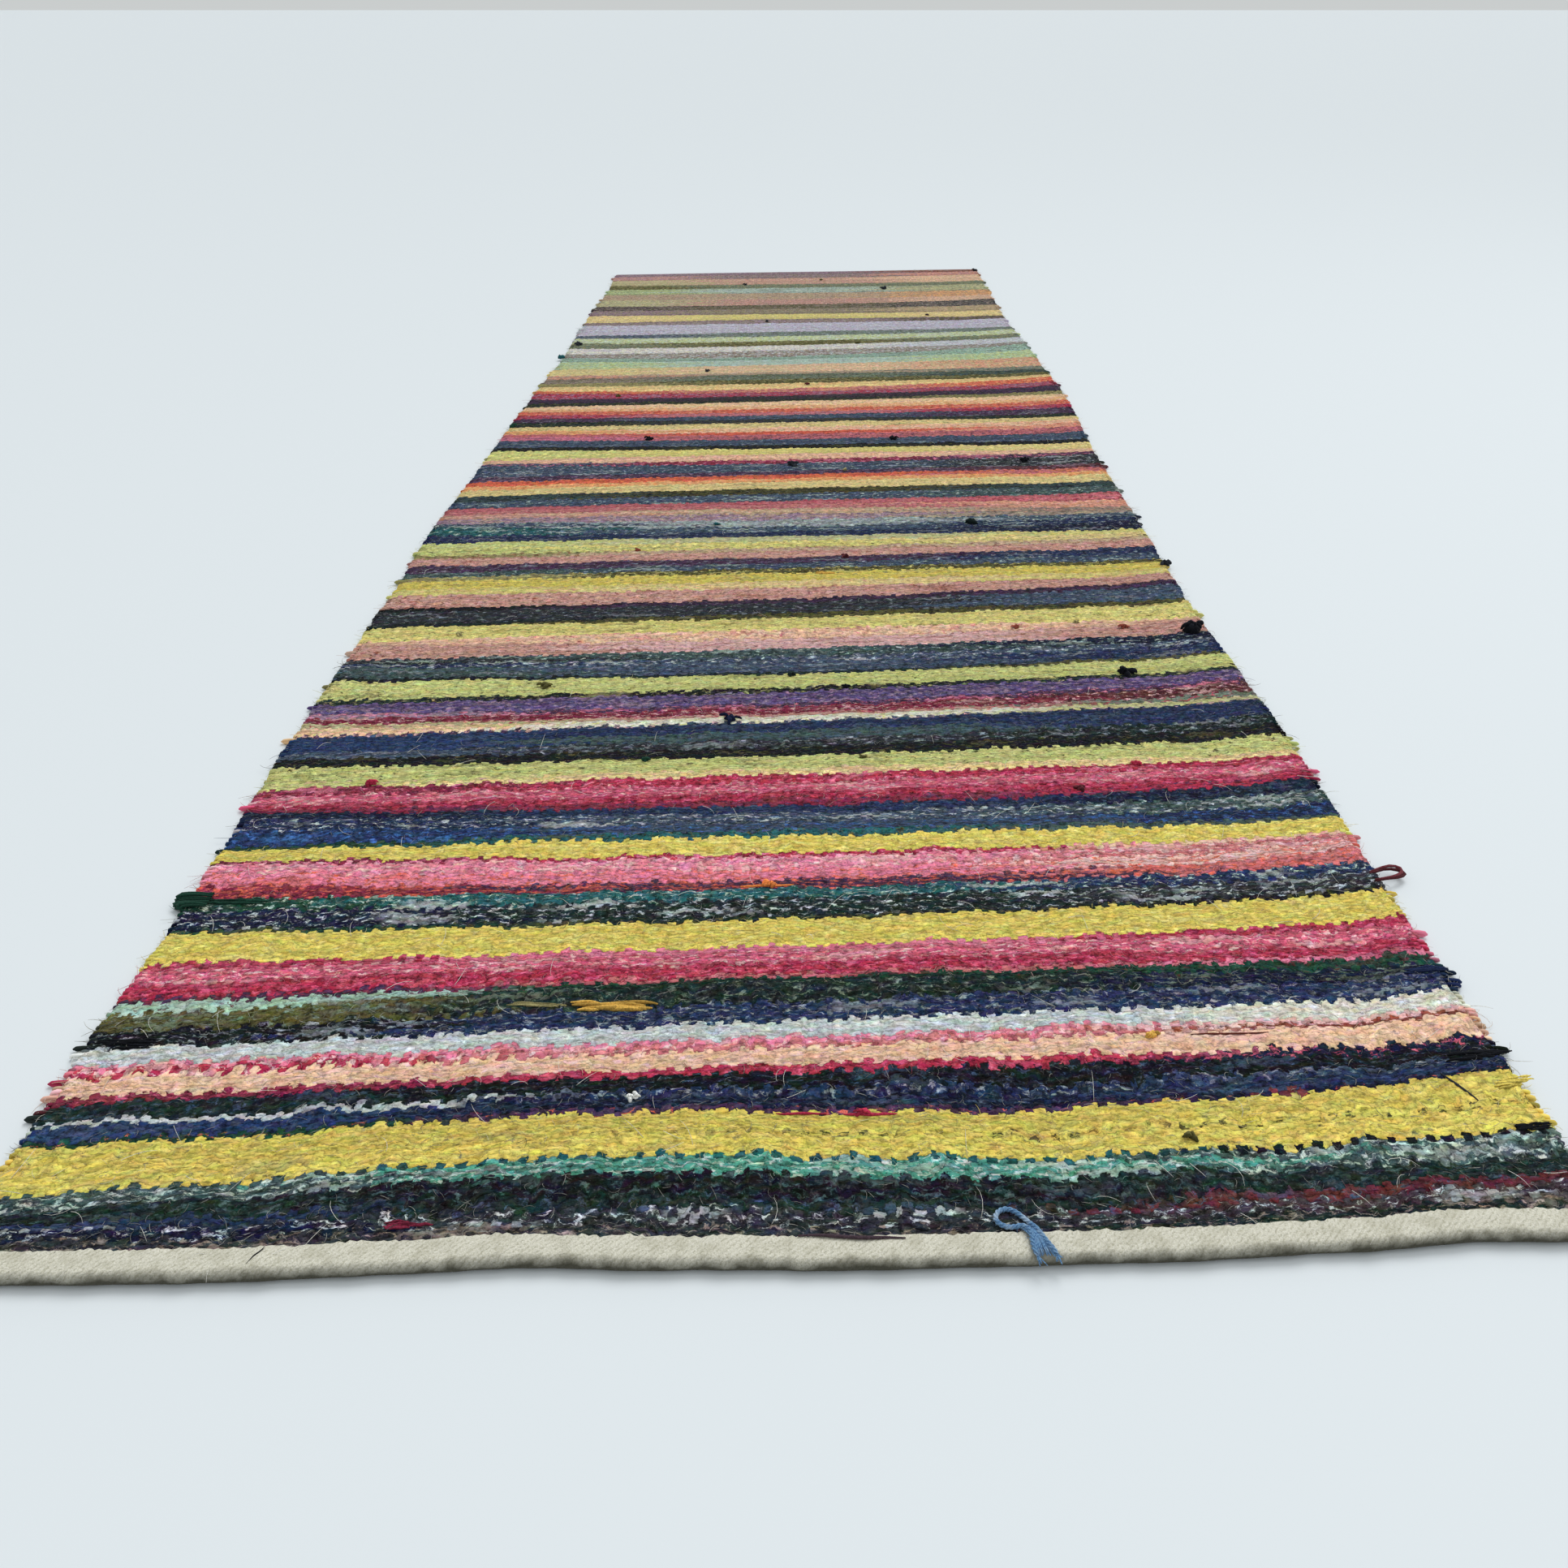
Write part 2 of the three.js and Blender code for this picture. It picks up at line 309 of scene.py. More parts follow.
# The stripes from the bound end on: where a band ends on the left, middle and right rulers, its yarn
# at each, the yarn flecked through it and the share of that
Stripe = namedtuple("Stripe", "left middle right yarn_left yarn_middle yarn_right fleck share")
CHART = (
    (409, 420, 444, "charcoal", "charcoal", "black green", "taupe", 0.28),
    (416, 431, 452, "deep navy", "charcoal", "plum brown", "pale grey", 0.25),
    (420, 440, 458, "navy", "black green", "maroon", "slate", 0.22),
    (431, 458, 468, "black green", "ink", "black green", "slate green", 0.28),
    (441, 469, 486, "slate green", "sea green", "slate green", "pale mint", 0.35),
    (442, 471, 488, "slate green", "teal", "ink", "bottle green", 0.20),
    (457, 487, 506, "bright yellow", "bright yellow", "bright yellow", "khaki", 0.12),
    (459, 489, 508, "bright yellow", "olive", "olive", "bright yellow", 0.60),
    (477, 503, 532, "bright yellow", "bright yellow", "bright yellow", "khaki", 0.14),
    (480, 508, 534, "bottle green", "plum", "deep navy", "coral", 0.12),
    (492, 516, 543, "blue", "deep navy", "navy", "slate", 0.30),
    (495, 523, 546, "pale grey", "navy", "slate", "grey", 0.30),
    (509, 537, 556, "black green", "ink", "ink", "slate", 0.22),
    (514, 544, 562, "dark crimson", "crimson", "deep navy", "hot pink", 0.28),
    (530, 558, 583, "peach", "peach", "peach", "pale pink", 0.25),
    (537, 563, 586, "crimson", "old rose", "red brown", "pale pink", 0.25),
    (541, 568, 590, "rose", "rose", "pale pink", "pale pink", 0.30),
    (555, 582, 605, "pale grey", "pale grey", "cream", "white", 0.25),
    (570, 600, 625, "ink", "navy", "navy", "grey", 0.26),
    (586, 622, 633, "olive", "black green", "deep navy", "grey green", 0.25),
    (597, 624, 645, "mint", "bottle green", "bottle green", "maroon", 0.20),
    (601, 628, 650, "plum", "old rose", "rose", "dark crimson", 0.35),
    (614, 640, 658, "crimson", "crimson", "crimson", "hot pink", 0.35),
    (630, 652, 676, "hot pink", "hot pink", "hot pink", "pale pink", 0.30),
    (636, 657, 684, "crimson", "rose", "crimson", "hot pink", 0.35),
    (667, 687, 715, "bright yellow", "bright yellow", "bright yellow", "pale yellow", 0.20),
    (671, 690, 720, "bottle green", "black green", "ink", "olive", 0.30),
    (692, 711, 738, "deep navy", "black green", "charcoal", "pale grey", 0.24),
    (706, 724, 750, "bottle green", "teal", "navy", "pale mint", 0.24),
    (722, 732, 767, "dark crimson", "plum", "old rose", "coral", 0.35),
    (738, 747, 778, "rose", "rose", "pale pink", "coral", 0.35),
    (750, 762, 788, "rose", "rose", "old rose", "pale pink", 0.35),
    (754, 767, 792, "dark crimson", "crimson", "peach", "rose", 0.30),
    (769, 790, 813, "bright yellow", "bright yellow", "bright yellow", "pale yellow", 0.25),
    (773, 800, 818, "bottle green", "teal", "slate green", "olive", 0.25),
    (795, 809, 832, "blue", "slate", "navy", "bright blue", 0.28),
    (812, 824, 852, "navy", "slate", "slate green", "pale grey", 0.26),
    (820, 834, 870, "deep navy", "navy", "deep navy", "slate", 0.25),
    (825, 844, 877, "dark crimson", "dark crimson", "crimson", "plum", 0.30),
    (830, 855, 884, "crimson", "crimson", "crimson", "hot pink", 0.35),
    (845, 869, 902, "hot pink", "hot pink", "hot pink", "pale pink", 0.25),
    (857, 882, 909, "dark crimson", "crimson", "crimson", "rose", 0.25),
    (866, 893, 918, "yellow green", "peach yellow", "peach yellow", "dusty pink", 0.25),
    (890, 914, 944, "yellow green", "yellow green", "yellow green", "olive", 0.22),
    (904, 929, 962, "ink", "ink", "ink", "olive", 0.18),
    (915, 942, 980, "slate", "charcoal", "black green", "grey", 0.26),
    (928, 958, 995, "blue", "slate green", "navy", "slate", 0.28),
    (942, 974, 1010, "blue", "navy", "navy", "slate", 0.28),
    (946, 976, 1012, "plum", "slate", "navy", "pale pink", 0.30),
    (957, 987, 1018, "peach", "cream", "pale khaki", "yellow green", 0.30),
    (966, 990, 1028, "pale khaki", "dusty pink", "grey green", "crimson", 0.30),
    (976, 1003, 1045, "dark crimson", "dark crimson", "maroon", "pale pink", 0.25),
    (986, 1012, 1055, "mauve", "plum", "plum", "rose", 0.28),
    (1004, 1033, 1072, "violet", "violet", "violet", "mauve", 0.35),
    (1012, 1042, 1078, "black green", "ink", "black green", "khaki", 0.25),
    (1050, 1070, 1106, "yellow green", "yellow green", "yellow green", "olive", 0.20),
    (1056, 1074, 1112, "ink", "black green", "olive", "slate", 0.20),
    (1080, 1095, 1135, "slate green", "slate", "navy", "grey", 0.19),
    (1086, 1107, 1145, "navy", "slate", "slate", "pale grey", 0.26),
    (1097, 1127, 1160, "charcoal", "slate green", "deep navy", "pale mint", 0.19),
    (1130, 1148, 1190, "dusty pink", "pale pink", "dusty pink", "red brown", 0.24),
    (1140, 1173, 1197, "peach", "peach", "peach", "old rose", 0.25),
    (1173, 1200, 1236, "pale yellow", "pale yellow", "pale yellow", "olive", 0.18),
    (1180, 1213, 1246, "black green", "olive", "olive", "ink", 0.30),
    (1212, 1240, 1282, "charcoal", "charcoal", "slate", "grey", 0.19),
    (1220, 1250, 1296, "ink", "plum", "plum", "ink", 0.35),
    (1255, 1281, 1316, "dusty pink", "dusty pink", "dusty pink", "red brown", 0.26),
    (1272, 1300, 1330, "pale yellow", "peach yellow", "pale yellow", "salmon", 0.20),
    (1295, 1323, 1352, "bright yellow", "bright yellow", "bright yellow", "khaki", 0.24),
    (1305, 1338, 1360, "khaki", "olive", "olive", "pale yellow", 0.25),
    (1318, 1353, 1380, "slate green", "slate", "slate", "pale mint", 0.19),
    (1340, 1371, 1402, "plum", "plum", "navy", "grey", 0.19),
    (1362, 1390, 1426, "dusty pink", "dusty pink", "dusty pink", "red brown", 0.24),
    (1372, 1402, 1436, "khaki", "tan", "tan", "red brown", 0.25),
    (1392, 1423, 1450, "yellow green", "pale yellow", "peach yellow", "olive", 0.20),
    (1412, 1440, 1462, "yellow green", "pale khaki", "pale yellow", "lime", 0.30),
    (1435, 1456, 1490, "navy", "navy", "deep navy", "grey", 0.19),
    (1465, 1473, 1508, "teal", "slate", "navy", "pale mint", 0.19),
    (1478, 1498, 1522, "slate", "grey", "slate", "pale mint", 0.30),
    (1494, 1519, 1534, "mauve", "mauve", "taupe", "tan", 0.30),
    (1510, 1540, 1545, "dusty pink", "tan", "taupe", "salmon", 0.30),
    (1522, 1555, 1570, "old rose", "old rose", "salmon", "dusty pink", 0.30),
    (1535, 1569, 1600, "old rose", "old rose", "old rose", "crimson", 0.30),
    (1560, 1598, 1625, "slate", "slate", "slate green", "pale mint", 0.19),
    (1583, 1619, 1645, "slate green", "olive", "slate green", "ink", 0.40),
    (1606, 1648, 1675, "peach yellow", "peach yellow", "peach yellow", "khaki", 0.24),
    (1622, 1661, 1688, "apricot", "apricot", "apricot", "orange", 0.30),
    (1640, 1677, 1705, "coral", "coral", "old rose", "orange", 0.30),
    (1660, 1694, 1722, "plum", "plum", "maroon", "mauve", 0.30),
    (1708, 1727, 1765, "slate", "slate", "charcoal", "pale grey", 0.19),
    (1720, 1744, 1778, "slate", "dark crimson", "plum", "rose", 0.30),
    (1735, 1773, 1792, "peach", "peach", "peach", "salmon", 0.30),
    (1780, 1796, 1822, "yellow green", "pale yellow", "peach yellow", "pale yellow", 0.40),
    (1796, 1815, 1838, "ink", "ink", "ink", "olive", 0.25),
    (1830, 1843, 1875, "slate", "slate", "slate", "grey", 0.19),
    (1848, 1869, 1900, "rose", "old rose", "old rose", "plum", 0.30),
    (1862, 1882, 1922, "old rose", "coral", "salmon", "coral", 0.30),
    (1880, 1905, 1942, "apricot", "peach", "peach", "orange", 0.25),
    (1900, 1932, 1960, "peach yellow", "peach yellow", "peach yellow", "khaki", 0.28),
    (1925, 1950, 1976, "black green", "charcoal", "black green", "olive", 0.30),
    (1945, 1973, 2010, "plum", "slate", "plum", "grey", 0.19),
    (1965, 1990, 2030, "crimson", "old rose", "crimson", "mauve", 0.30),
    (1985, 2009, 2052, "coral", "coral", "coral", "salmon", 0.35),
    (1998, 2030, 2072, "apricot", "apricot", "apricot", "peach", 0.40),
    (2013, 2054, 2092, "peach", "peach", "peach", "peach yellow", 0.40),
    (2035, 2067, 2112, "black green", "black green", "khaki", "olive", 0.35),
    (2058, 2090, 2145, "plum", "plum brown", "plum", "charcoal", 0.40),
    (2095, 2113, 2170, "crimson", "crimson", "crimson", "mauve", 0.40),
    (2110, 2135, 2202, "coral", "old rose", "coral", "apricot", 0.35),
    (2140, 2170, 2220, "peach yellow", "peach yellow", "peach yellow", "apricot", 0.35),
    (2160, 2200, 2240, "khaki", "olive", "olive", "khaki", 0.35),
    (2190, 2235, 2262, "taupe", "grey green", "slate green", "olive", 0.35),
    (2215, 2249, 2285, "salmon", "tan", "grey green", "taupe", 0.40),
    (2262, 2304, 2350, "peach yellow", "peach", "salmon", "pale khaki", 0.40),
    (2315, 2342, 2400, "lime", "pale mint", "lime", "mint", 0.40),
    (2345, 2363, 2450, "mint", "mint", "mint", "grey green", 0.40),
    (2375, 2413, 2470, "taupe", "taupe", "taupe", "pale grey", 0.35),
    (2420, 2454, 2510, "cream", "cream", "pale grey", "lilac", 0.35),
    (2465, 2490, 2545, "grey green", "olive", "grey green", "khaki", 0.40),
    (2505, 2530, 2582, "lime", "lime", "lime", "pale grey", 0.40),
    (2530, 2570, 2610, "slate", "grey green", "grey green", "grey", 0.40),
    (2620, 2650, 2690, "lilac", "lilac", "lilac", "pale grey", 0.40),
    (2645, 2690, 2720, "taupe", "taupe", "olive", "mauve", 0.40),
    (2715, 2740, 2775, "peach yellow", "pale yellow", "peach yellow", "tan", 0.30),
    (2765, 2795, 2830, "mauve", "taupe", "tan", "khaki", 0.40),
    (2810, 2840, 2895, "plum brown", "olive", "charcoal", "taupe", 0.45),
    (2880, 2900, 2940, "pale khaki", "dusty pink", "peach", "taupe", 0.35),
    (2940, 2970, 3000, "tan", "tan", "apricot", "taupe", 0.40),
    (3000, 3030, 3070, "lime", "pale mint", "pale khaki", "grey green", 0.40),
    (3050, 3075, 3110, "olive", "grey green", "grey green", "khaki", 0.40),
    (3110, 3150, 3190, "pale khaki", "dusty pink", "peach", "tan", 0.40),
    (3160, 3200, 3235, "dusty pink", "taupe", "salmon", "mauve", 0.40),
    (3195, 3232, 3269, "mauve", "mauve", "red brown", "taupe", 0.40),
)
STRIPES = [Stripe(*row) for row in CHART]

# The middle line of the tie, from one free end round the loop to the other
TIE_ROUTE = (
    (127.8, -1425.6, 10.0),
    (126.6, -1422.2, 11.2),
    (126.2, -1418.2, 11.4),
    (126.3, -1413.4, 11.3),
    (125.2, -1409.6, 10.9),
    (122.6, -1407.2, 10.0),
    (118.8, -1407.1, 8.9),
    (114.6, -1406.8, 8.4),
    (110.6, -1404.4, 8.4),
    (109.4, -1400.6, 8.4),
    (111.8, -1396.8, 8.4),
    (116.2, -1395.4, 8.4),
    (120.6, -1397.2, 8.4),
    (124.2, -1400.8, 8.4),
    (127.2, -1404.6, 8.7),
    (129.6, -1408.8, 10.4),
    (131.4, -1413.0, 11.3),
    (133.6, -1417.6, 11.4),
    (136.0, -1421.6, 11.2),
    (138.3, -1425.0, 10.2),
)

# Yarn joins that show on the face: how far across and along, how wide, and their yarn
KNOTS = (
    (203, 1187, 15, "charcoal"),
    (331, -91, 15, "ink"),
    (-5, -113, 15, "charcoal"),
    (69, -134, 8, "khaki"),
    (-222, 10, 13, "ink"),
    (148, 13, 13, "ink"),
    (222, -342, 17, "black green"),
    (-100, -352, 8, "teal"),
    (59, -458, 11, "maroon"),
    (200, -448, 8, "plum"),
    (-190, -440, 8, "red brown"),
    (232, -653, 9, "red brown"),
    (300, -640, 7, "khaki"),
    (348, -652, 10, "red brown"),
    (-350, -675, 8, "khaki"),
    (325, -756, 18, "ink"),
    (-3, -763, 9, "black green"),
    (-241, -790, 13, "olive"),
    (50, -786, 8, "ink"),
    (-59, -852, 16, "deep navy"),
    (296, -928, 10, "crimson"),
    (-130, -925, 8, "bottle green"),
    (60, -918, 7, "olive"),
    (-358, -966, 11, "crimson"),
    (240, -967, 9, "maroon"),
    (-17, -1104, 12, "orange"),
    (229, -1259, 9, "ochre"),
    (41, -1325, 8, "crimson"),
    (232, -1342, 9, "olive"),
    (-96, -1314, 8, "white"),
    (419, -657, 24, "ink"),
    (436, -478, 14, "charcoal"),
    (-441, 72, 13, "bottle green"),
    (-423, 621, 15, "charcoal"),
    (-441, 517, 15, "teal"),
    (445, 1418, 13, "charcoal"),
    (-160, 420, 10, "charcoal"),
    (120, 640, 10, "olive"),
    (-60, 830, 9, "charcoal"),
    (280, 900, 9, "plum brown"),
    (20, 330, 9, "maroon"),
    (-300, 250, 9, "olive"),
    (-120, 1230, 10, "charcoal"),
    (60, 1290, 9, "olive"),
)

# Slack lengths of thicker yarn on the face: their two ends, across and along, how thick, their yarn
SLUBS = (
    (-154, -1235.5, -86, -1236.5, 4.4, "ochre"),
    (-190, -1234, -140, -1235, 1.8, "khaki"),
    (20, -508, 48, -507, 3.0, "ochre"),
    (-220, -1407.5, -192, -1406.5, 2.3, "dark crimson"),
    (254, -1257.5, 304, -1256, 0.9, "red brown"),
    (30, -1326, 62, -1324.5, 1.3, "crimson"),
    (-10, -1326, 20, -1326, 1.0, "crimson"),
    (398, -1290, 411, -1312, 1.0, "charcoal"),
    (-40, -1105, 0, -1103, 1.3, "orange"),
    (-438, -1127, -380, -1126, 3.2, "bottle green"),
    (-447, -1272, -400, -1270, 3.0, "ink"),
    (412, -1196, 450, -1192, 3.0, "navy"),
    (405, -1277, 452, -1272, 3.2, "ink"),
    (420, -1333, 447, -1330, 2.2, "ink"),
    (425, -1299, 455, -1294, 2.4, "bright yellow"),
    (3, -1413, 60, -1414, 1.2, "plum brown"),
    (-283, -1433.5, -277, -1423.5, 0.5, "ink"),
)

# The kinds of node that the materials use most
MATH = "ShaderNodeMath"
MIX = "ShaderNodeMixRGB"
NOISE = "ShaderNodeTexNoise"
RANGE = "ShaderNodeMapRange"
RANDOM = "ShaderNodeTexWhiteNoise"
COMBINE = "ShaderNodeCombineXYZ"
SEPARATE = "ShaderNodeSeparateXYZ"
VECTOR_MATH = "ShaderNodeVectorMath"
MAPPING = "ShaderNodeMapping"
UV_MAP = "ShaderNodeUVMap"
BUMP = "ShaderNodeBump"

# The stripes' edges on the three rulers, the picks in each stripe and the pick at which each ends
EDGES = np.array([FIRST_EDGE] + [row[:3] for row in STRIPES], float)
PICKS_OF = np.maximum(1, np.round(np.diff(EDGES, axis=0).mean(axis=1) / PICK_ADVANCE)).astype(int)
PICK_ENDS = np.concatenate([[0], np.cumsum(PICKS_OF)])
LAST_PICK = int(PICK_ENDS[-1])

# A point's place in the weave: how many warps across it is, that warp's number, the pick that shows
# there, its place across that warp and along that pick, both from 0 to 1, and its picks along
WeavePlace = namedtuple("WeavePlace", "across_at warp pick across along picks_at")

# A ring of points round the cloth or the tape: the number of its first, the columns on its face, and
# how many they are
Ring = namedtuple("Ring", "start columns size")


def smooth(t):
    """Eases from 0 to 1."""
    t = np.clip(t, 0, 1)
    return t * t * (3 - 2 * t)


def eased(places, values, at):
    """A column of a table, eased between its rows."""
    places, values = np.array(places, float), np.array(values, float)
    i = np.clip(np.searchsorted(places, at) - 1, 0, len(places) - 2)
    t = smooth((at - places[i]) / (places[i + 1] - places[i]))
    return values[i] + (values[i + 1] - values[i]) * t


def fold_line(x):
    """Where the tape's fold lies along the runner."""
    wave = eased(FOLD_WAVE_ACROSS, FOLD_WAVE_OUT, x)
    return -LENGTH / 2 - CENTRING + NEAR_SKEW * x / WIDTH - wave


def far_line(x):
    """Where the plain end lies."""
    return LENGTH / 2 - CENTRING + FAR_SKEW * x / WIDTH


def face_swell(x, y):
    """The rise and fall of the cloth's face."""
    along = np.sin(y / 97 + 0.8 * np.sin(x / 210))
    across = np.sin(x / 83 + y / 390)
    return SURFACE_SWELL * (0.6 * along + 0.4 * across)


def ripple(x, y):
    """The wefts' small waves, from beating."""
    long = np.sin(x / 19 + 1.7 * np.sin(y / 71) + y / 240)
    short = np.sin(x / 8.3 - 1.3 * np.sin(y / 43) + y / 31)
    return RIPPLE * (0.75 * long + 0.35 * short)


def lie_of(pick, across):
    """Where a pick's points lie, in millimetres: how far across the runner, and how far along.

    across runs from 0 at the left selvedge to 1 at the right.
    """
    left, middle, right = (np.interp(pick, PICK_ENDS, EDGES[:, k]) for k in range(3))
    x = (across - 0.5) * 2 * MEAN_HALF_WIDTH
    for _ in range(2):
        t = (x - MIDDLE_RULER) / RULER_SPACING
        on_rulers = left * t * (t - 1) / 2 + middle * (1 - t * t) + right * t * (t + 1) / 2
        fades = 1 - smooth((middle - WAVE_FADES[0]) / (WAVE_FADES[1] - WAVE_FADES[0]))
        wave = eased(WEFT_WAVE_ACROSS, WEFT_WAVE_UP, x) * fades
        turn = RIGHT_UPTURN * smooth((x - UPTURN_START) / (WIDTH / 2 - UPTURN_START))
        y = on_rulers + RULER_ZERO + wave + turn + ripple(x, on_rulers)
        start = fold_line(x) + WEB_END_INSET + pick * PICK_ADVANCE
        y = start + (y - start) * smooth(pick / SETTLING_PICKS)
        end = far_line(x) - (LAST_PICK - pick) * PICK_ADVANCE
        y = end + (y - end) * smooth((LAST_PICK - pick) / SETTLING_PICKS)
        left_edge = -eased(SELVEDGE_ALONG, SELVEDGE_LEFT, y)
        x = left_edge * (1 - across) + eased(SELVEDGE_ALONG, SELVEDGE_RIGHT, y) * across
    return x, y


def stripe_of(pick):
    """The row of the chart that holds a pick."""
    return np.clip(np.searchsorted(PICK_ENDS, pick, side="right") - 1, 0, len(STRIPES) - 1)


def cloth_heights(pick, x, y, relief=0.0):
    """The heights of the cloth's face and of its underside, in millimetres."""
    from_fold = y - fold_line(x)
    on_tape = smooth((RISE_START - from_fold) / (RISE_START - RISE_END))
    under = WEB_END_BOTTOM * on_tape
    thickness = WEB_THICKNESS + (WEB_END_THICKNESS - WEB_THICKNESS) * on_tape
    swell = face_swell(x, y) * (1 - on_tape)
    stripe = stripe_of(pick)
    part = (pick - PICK_ENDS[stripe]) / PICKS_OF[stripe]
    full = np.minimum(PICKS_OF[stripe] / FULL_RIB_PICKS, 1)
    rib = np.sqrt(np.clip(np.sin(np.pi * part), 0, 1)) * full * RIB_RISE
    shown = smooth((from_fold - BINDING_DEPTH + 4) / 8)
    return under + thickness + swell + (rib - RIB_RISE / 2 + relief) * shown, under


def on_cloth(pick, across):
    """Points on the cloth's face at some picks and places across."""
    x, y = lie_of(pick, across)
    return np.stack([x, y, cloth_heights(pick, x, y)[0]], 1)


def yarn_of(pick, across):
    """The colour of the chart's yarn at each of some places."""
    first, second = YARN_MEETINGS
    column = np.where(across < first, 3, np.where(across < second, 4, 5))
    return np.array([linear(YARNS[STRIPES[r][c]]) for r, c in zip(stripe_of(pick), column)])


def face_at(x, y):
    """The height of the cloth's face, or of the tape's over it, at a place."""
    if y <= fold_line(x) + BINDING_DEPTH:
        return TAPE_FACE
    picks = np.arange(0, LAST_PICK, 8.0)
    across = np.array([0, x / WIDTH + 0.5, 1])
    lies = np.array([lie_of(p, across)[1][1] for p in picks])
    return cloth_heights(float(np.interp(y, lies, picks)), x, y)[0]


def linear(hexa):
    """An sRGB hex colour as linear red, green, blue and alpha."""
    parts = [int(hexa[i : i + 2], 16) / 255 for i in (1, 3, 5)]
    return [c / 12.92 if c <= 0.04045 else ((c + 0.055) / 1.055) ** 2.4 for c in parts] + [1]


def link(obj):
    """Puts an object in the scene."""
    bpy.context.scene.collection.objects.link(obj)
    return obj


def camera():
    """Looks along the runner from just before its bound end, at the photograph's angle."""
    data = bpy.data.cameras.new("camera")
    data.lens = LENS
    data.shift_x, data.shift_y = CAMERA_SHIFT
    made = link(bpy.data.objects.new("camera", data))
    made.location = CAMERA_PLACE
    made.rotation_euler = (math.radians(90 - CAMERA_PITCH), 0, math.radians(CAMERA_TURN))
    bpy.context.scene.camera = made


def piece_of(name, points, faces, material, uv=None, tint=None):
    """A mesh piece from points in millimetres; uv and tint hold a value for each point."""
    mesh = bpy.data.meshes.new(name)
    mesh.from_pydata(np.asarray(points, float) * MM, [], faces)
    corner = np.zeros(len(mesh.loops), np.int32)
    mesh.loops.foreach_get("vertex_index", corner)
    if uv is not None:
        layer = mesh.uv_layers.new(name="weave")
        layer.data.foreach_set("uv", np.asarray(uv, np.float32)[corner].ravel())
    if tint is not None:
        colours = mesh.color_attributes.new("tint", "FLOAT_COLOR", "POINT")
        colours.data.foreach_set("color", np.asarray(tint, np.float32).ravel())
    mesh.materials.append(material)
    mesh.shade_smooth()
    made = link(bpy.data.objects.new(name, mesh))
    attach(made, "root")
    return made


def feed(tree, node, sources):
    """Links or sets a node's inputs, each by its name or number."""
    for socket, source in sources.items():
        if isinstance(source, bpy.types.Node):
            source = source.outputs[0]
        if isinstance(source, bpy.types.NodeSocket):
            tree.links.new(source, node.inputs[socket])
        else:
            node.inputs[socket].default_value = source


def add(tree, kind, *sources, to=(), **settings):
    """Adds a node with its settings. sources go to its first inputs in turn, and to names others."""
    made = tree.nodes.new(kind)
    for name, value in settings.items():
        setattr(made, name, value)
    feed(tree, made, dict(enumerate(sources)) | dict(to))
    return made


def new_material(name):
    """An empty material's tree and its surface shader."""
    made = bpy.data.materials.new(name)
    made.use_nodes = True
    return made, made.node_tree, made.node_tree.nodes["Principled BSDF"]


def ramp_rows():
    """The chart's rows in runs that fit on a colour ramp: the first row, and the one past the last."""
    runs = []
    row = 0
    while row < len(STRIPES):
        start = row
        picks = 0
        while row < len(STRIPES) and row - start < RAMP_STOPS and picks + PICKS_OF[row] < RAMP_STEPS:
            picks += PICKS_OF[row]
            row += 1
        runs.append((start, row))
    return runs


def chart_channel(tree, pick, colours):
    """Looks up a column of the chart at a pick, on as many colour ramps as its stripes take."""
    shown = None
    for start, end in ramp_rows():
        first = int(PICK_ENDS[start])
        offset = (0.5 - first) / RAMP_STEPS
        at = add(tree, MATH, pick, 1 / RAMP_STEPS, offset, operation="MULTIPLY_ADD")
        ramp = add(tree, "ShaderNodeValToRGB", at)
        band = ramp.color_ramp
        band.interpolation = "CONSTANT"
        band.elements.remove(band.elements[1])
        band.elements[0].color = colours[start]
        for row in range(start + 1, end):
            stop = band.elements.new((PICK_ENDS[row] - first - 0.5) / RAMP_STEPS)
            stop.color = colours[row]
        if shown is None:
            shown = ramp
        else:
            reached = add(tree, MATH, pick, first - 0.5, operation="GREATER_THAN")
            shown = add(tree, MIX, reached, shown, ramp)
    return shown


def weave_places(tree, uv):
    """A point's place in the weave, once the yarn's own unevenness has moved it."""
    moved = uv
    for scale, (wide, long) in YARN_WANDERS:
        at = add(tree, MAPPING, uv, to={"Scale": scale})
        detail = {"Detail": 2.0, "Scale": 1.0, "Roughness": 0.65}
        uneven = add(tree, NOISE, at, to=detail, noise_dimensions="2D").outputs["Color"]
        back = (-wide / 2, -long / 2, 0.0)
        shift = add(tree, VECTOR_MATH, uneven, (wide, long, 0.0), back, operation="MULTIPLY_ADD")
        moved = add(tree, VECTOR_MATH, moved, shift, operation="ADD")
    place = add(tree, SEPARATE, moved)
    across_at = place.outputs[0]
    warp = add(tree, MATH, across_at, operation="FLOOR")
    # The wefts aren't beaten down alike at every warp
    beaten = add(tree, RANDOM, to={"W": warp}, noise_dimensions="1D")
    picks_at = add(tree, MATH, beaten, 0.7, place.outputs[1], operation="MULTIPLY_ADD")
    picks_at = add(tree, MATH, picks_at, 0.35, operation="SUBTRACT")
    # Even picks pass over the even warps, and odd picks over the odd ones
    odd = add(tree, MATH, warp, 2.0, operation="FLOORED_MODULO")
    pairs = add(tree, MATH, picks_at, odd, operation="SUBTRACT")
    pairs = add(tree, MATH, pairs, 0.5, operation="MULTIPLY")
    pair = add(tree, MATH, pairs, operation="FLOOR")
    pick = add(tree, MATH, pair, 2.0, odd, operation="MULTIPLY_ADD")
    across = add(tree, MATH, across_at, operation="FRACT")
    along = add(tree, MATH, pairs, operation="FRACT")
    return WeavePlace(across_at, warp, pick, across, along, picks_at)


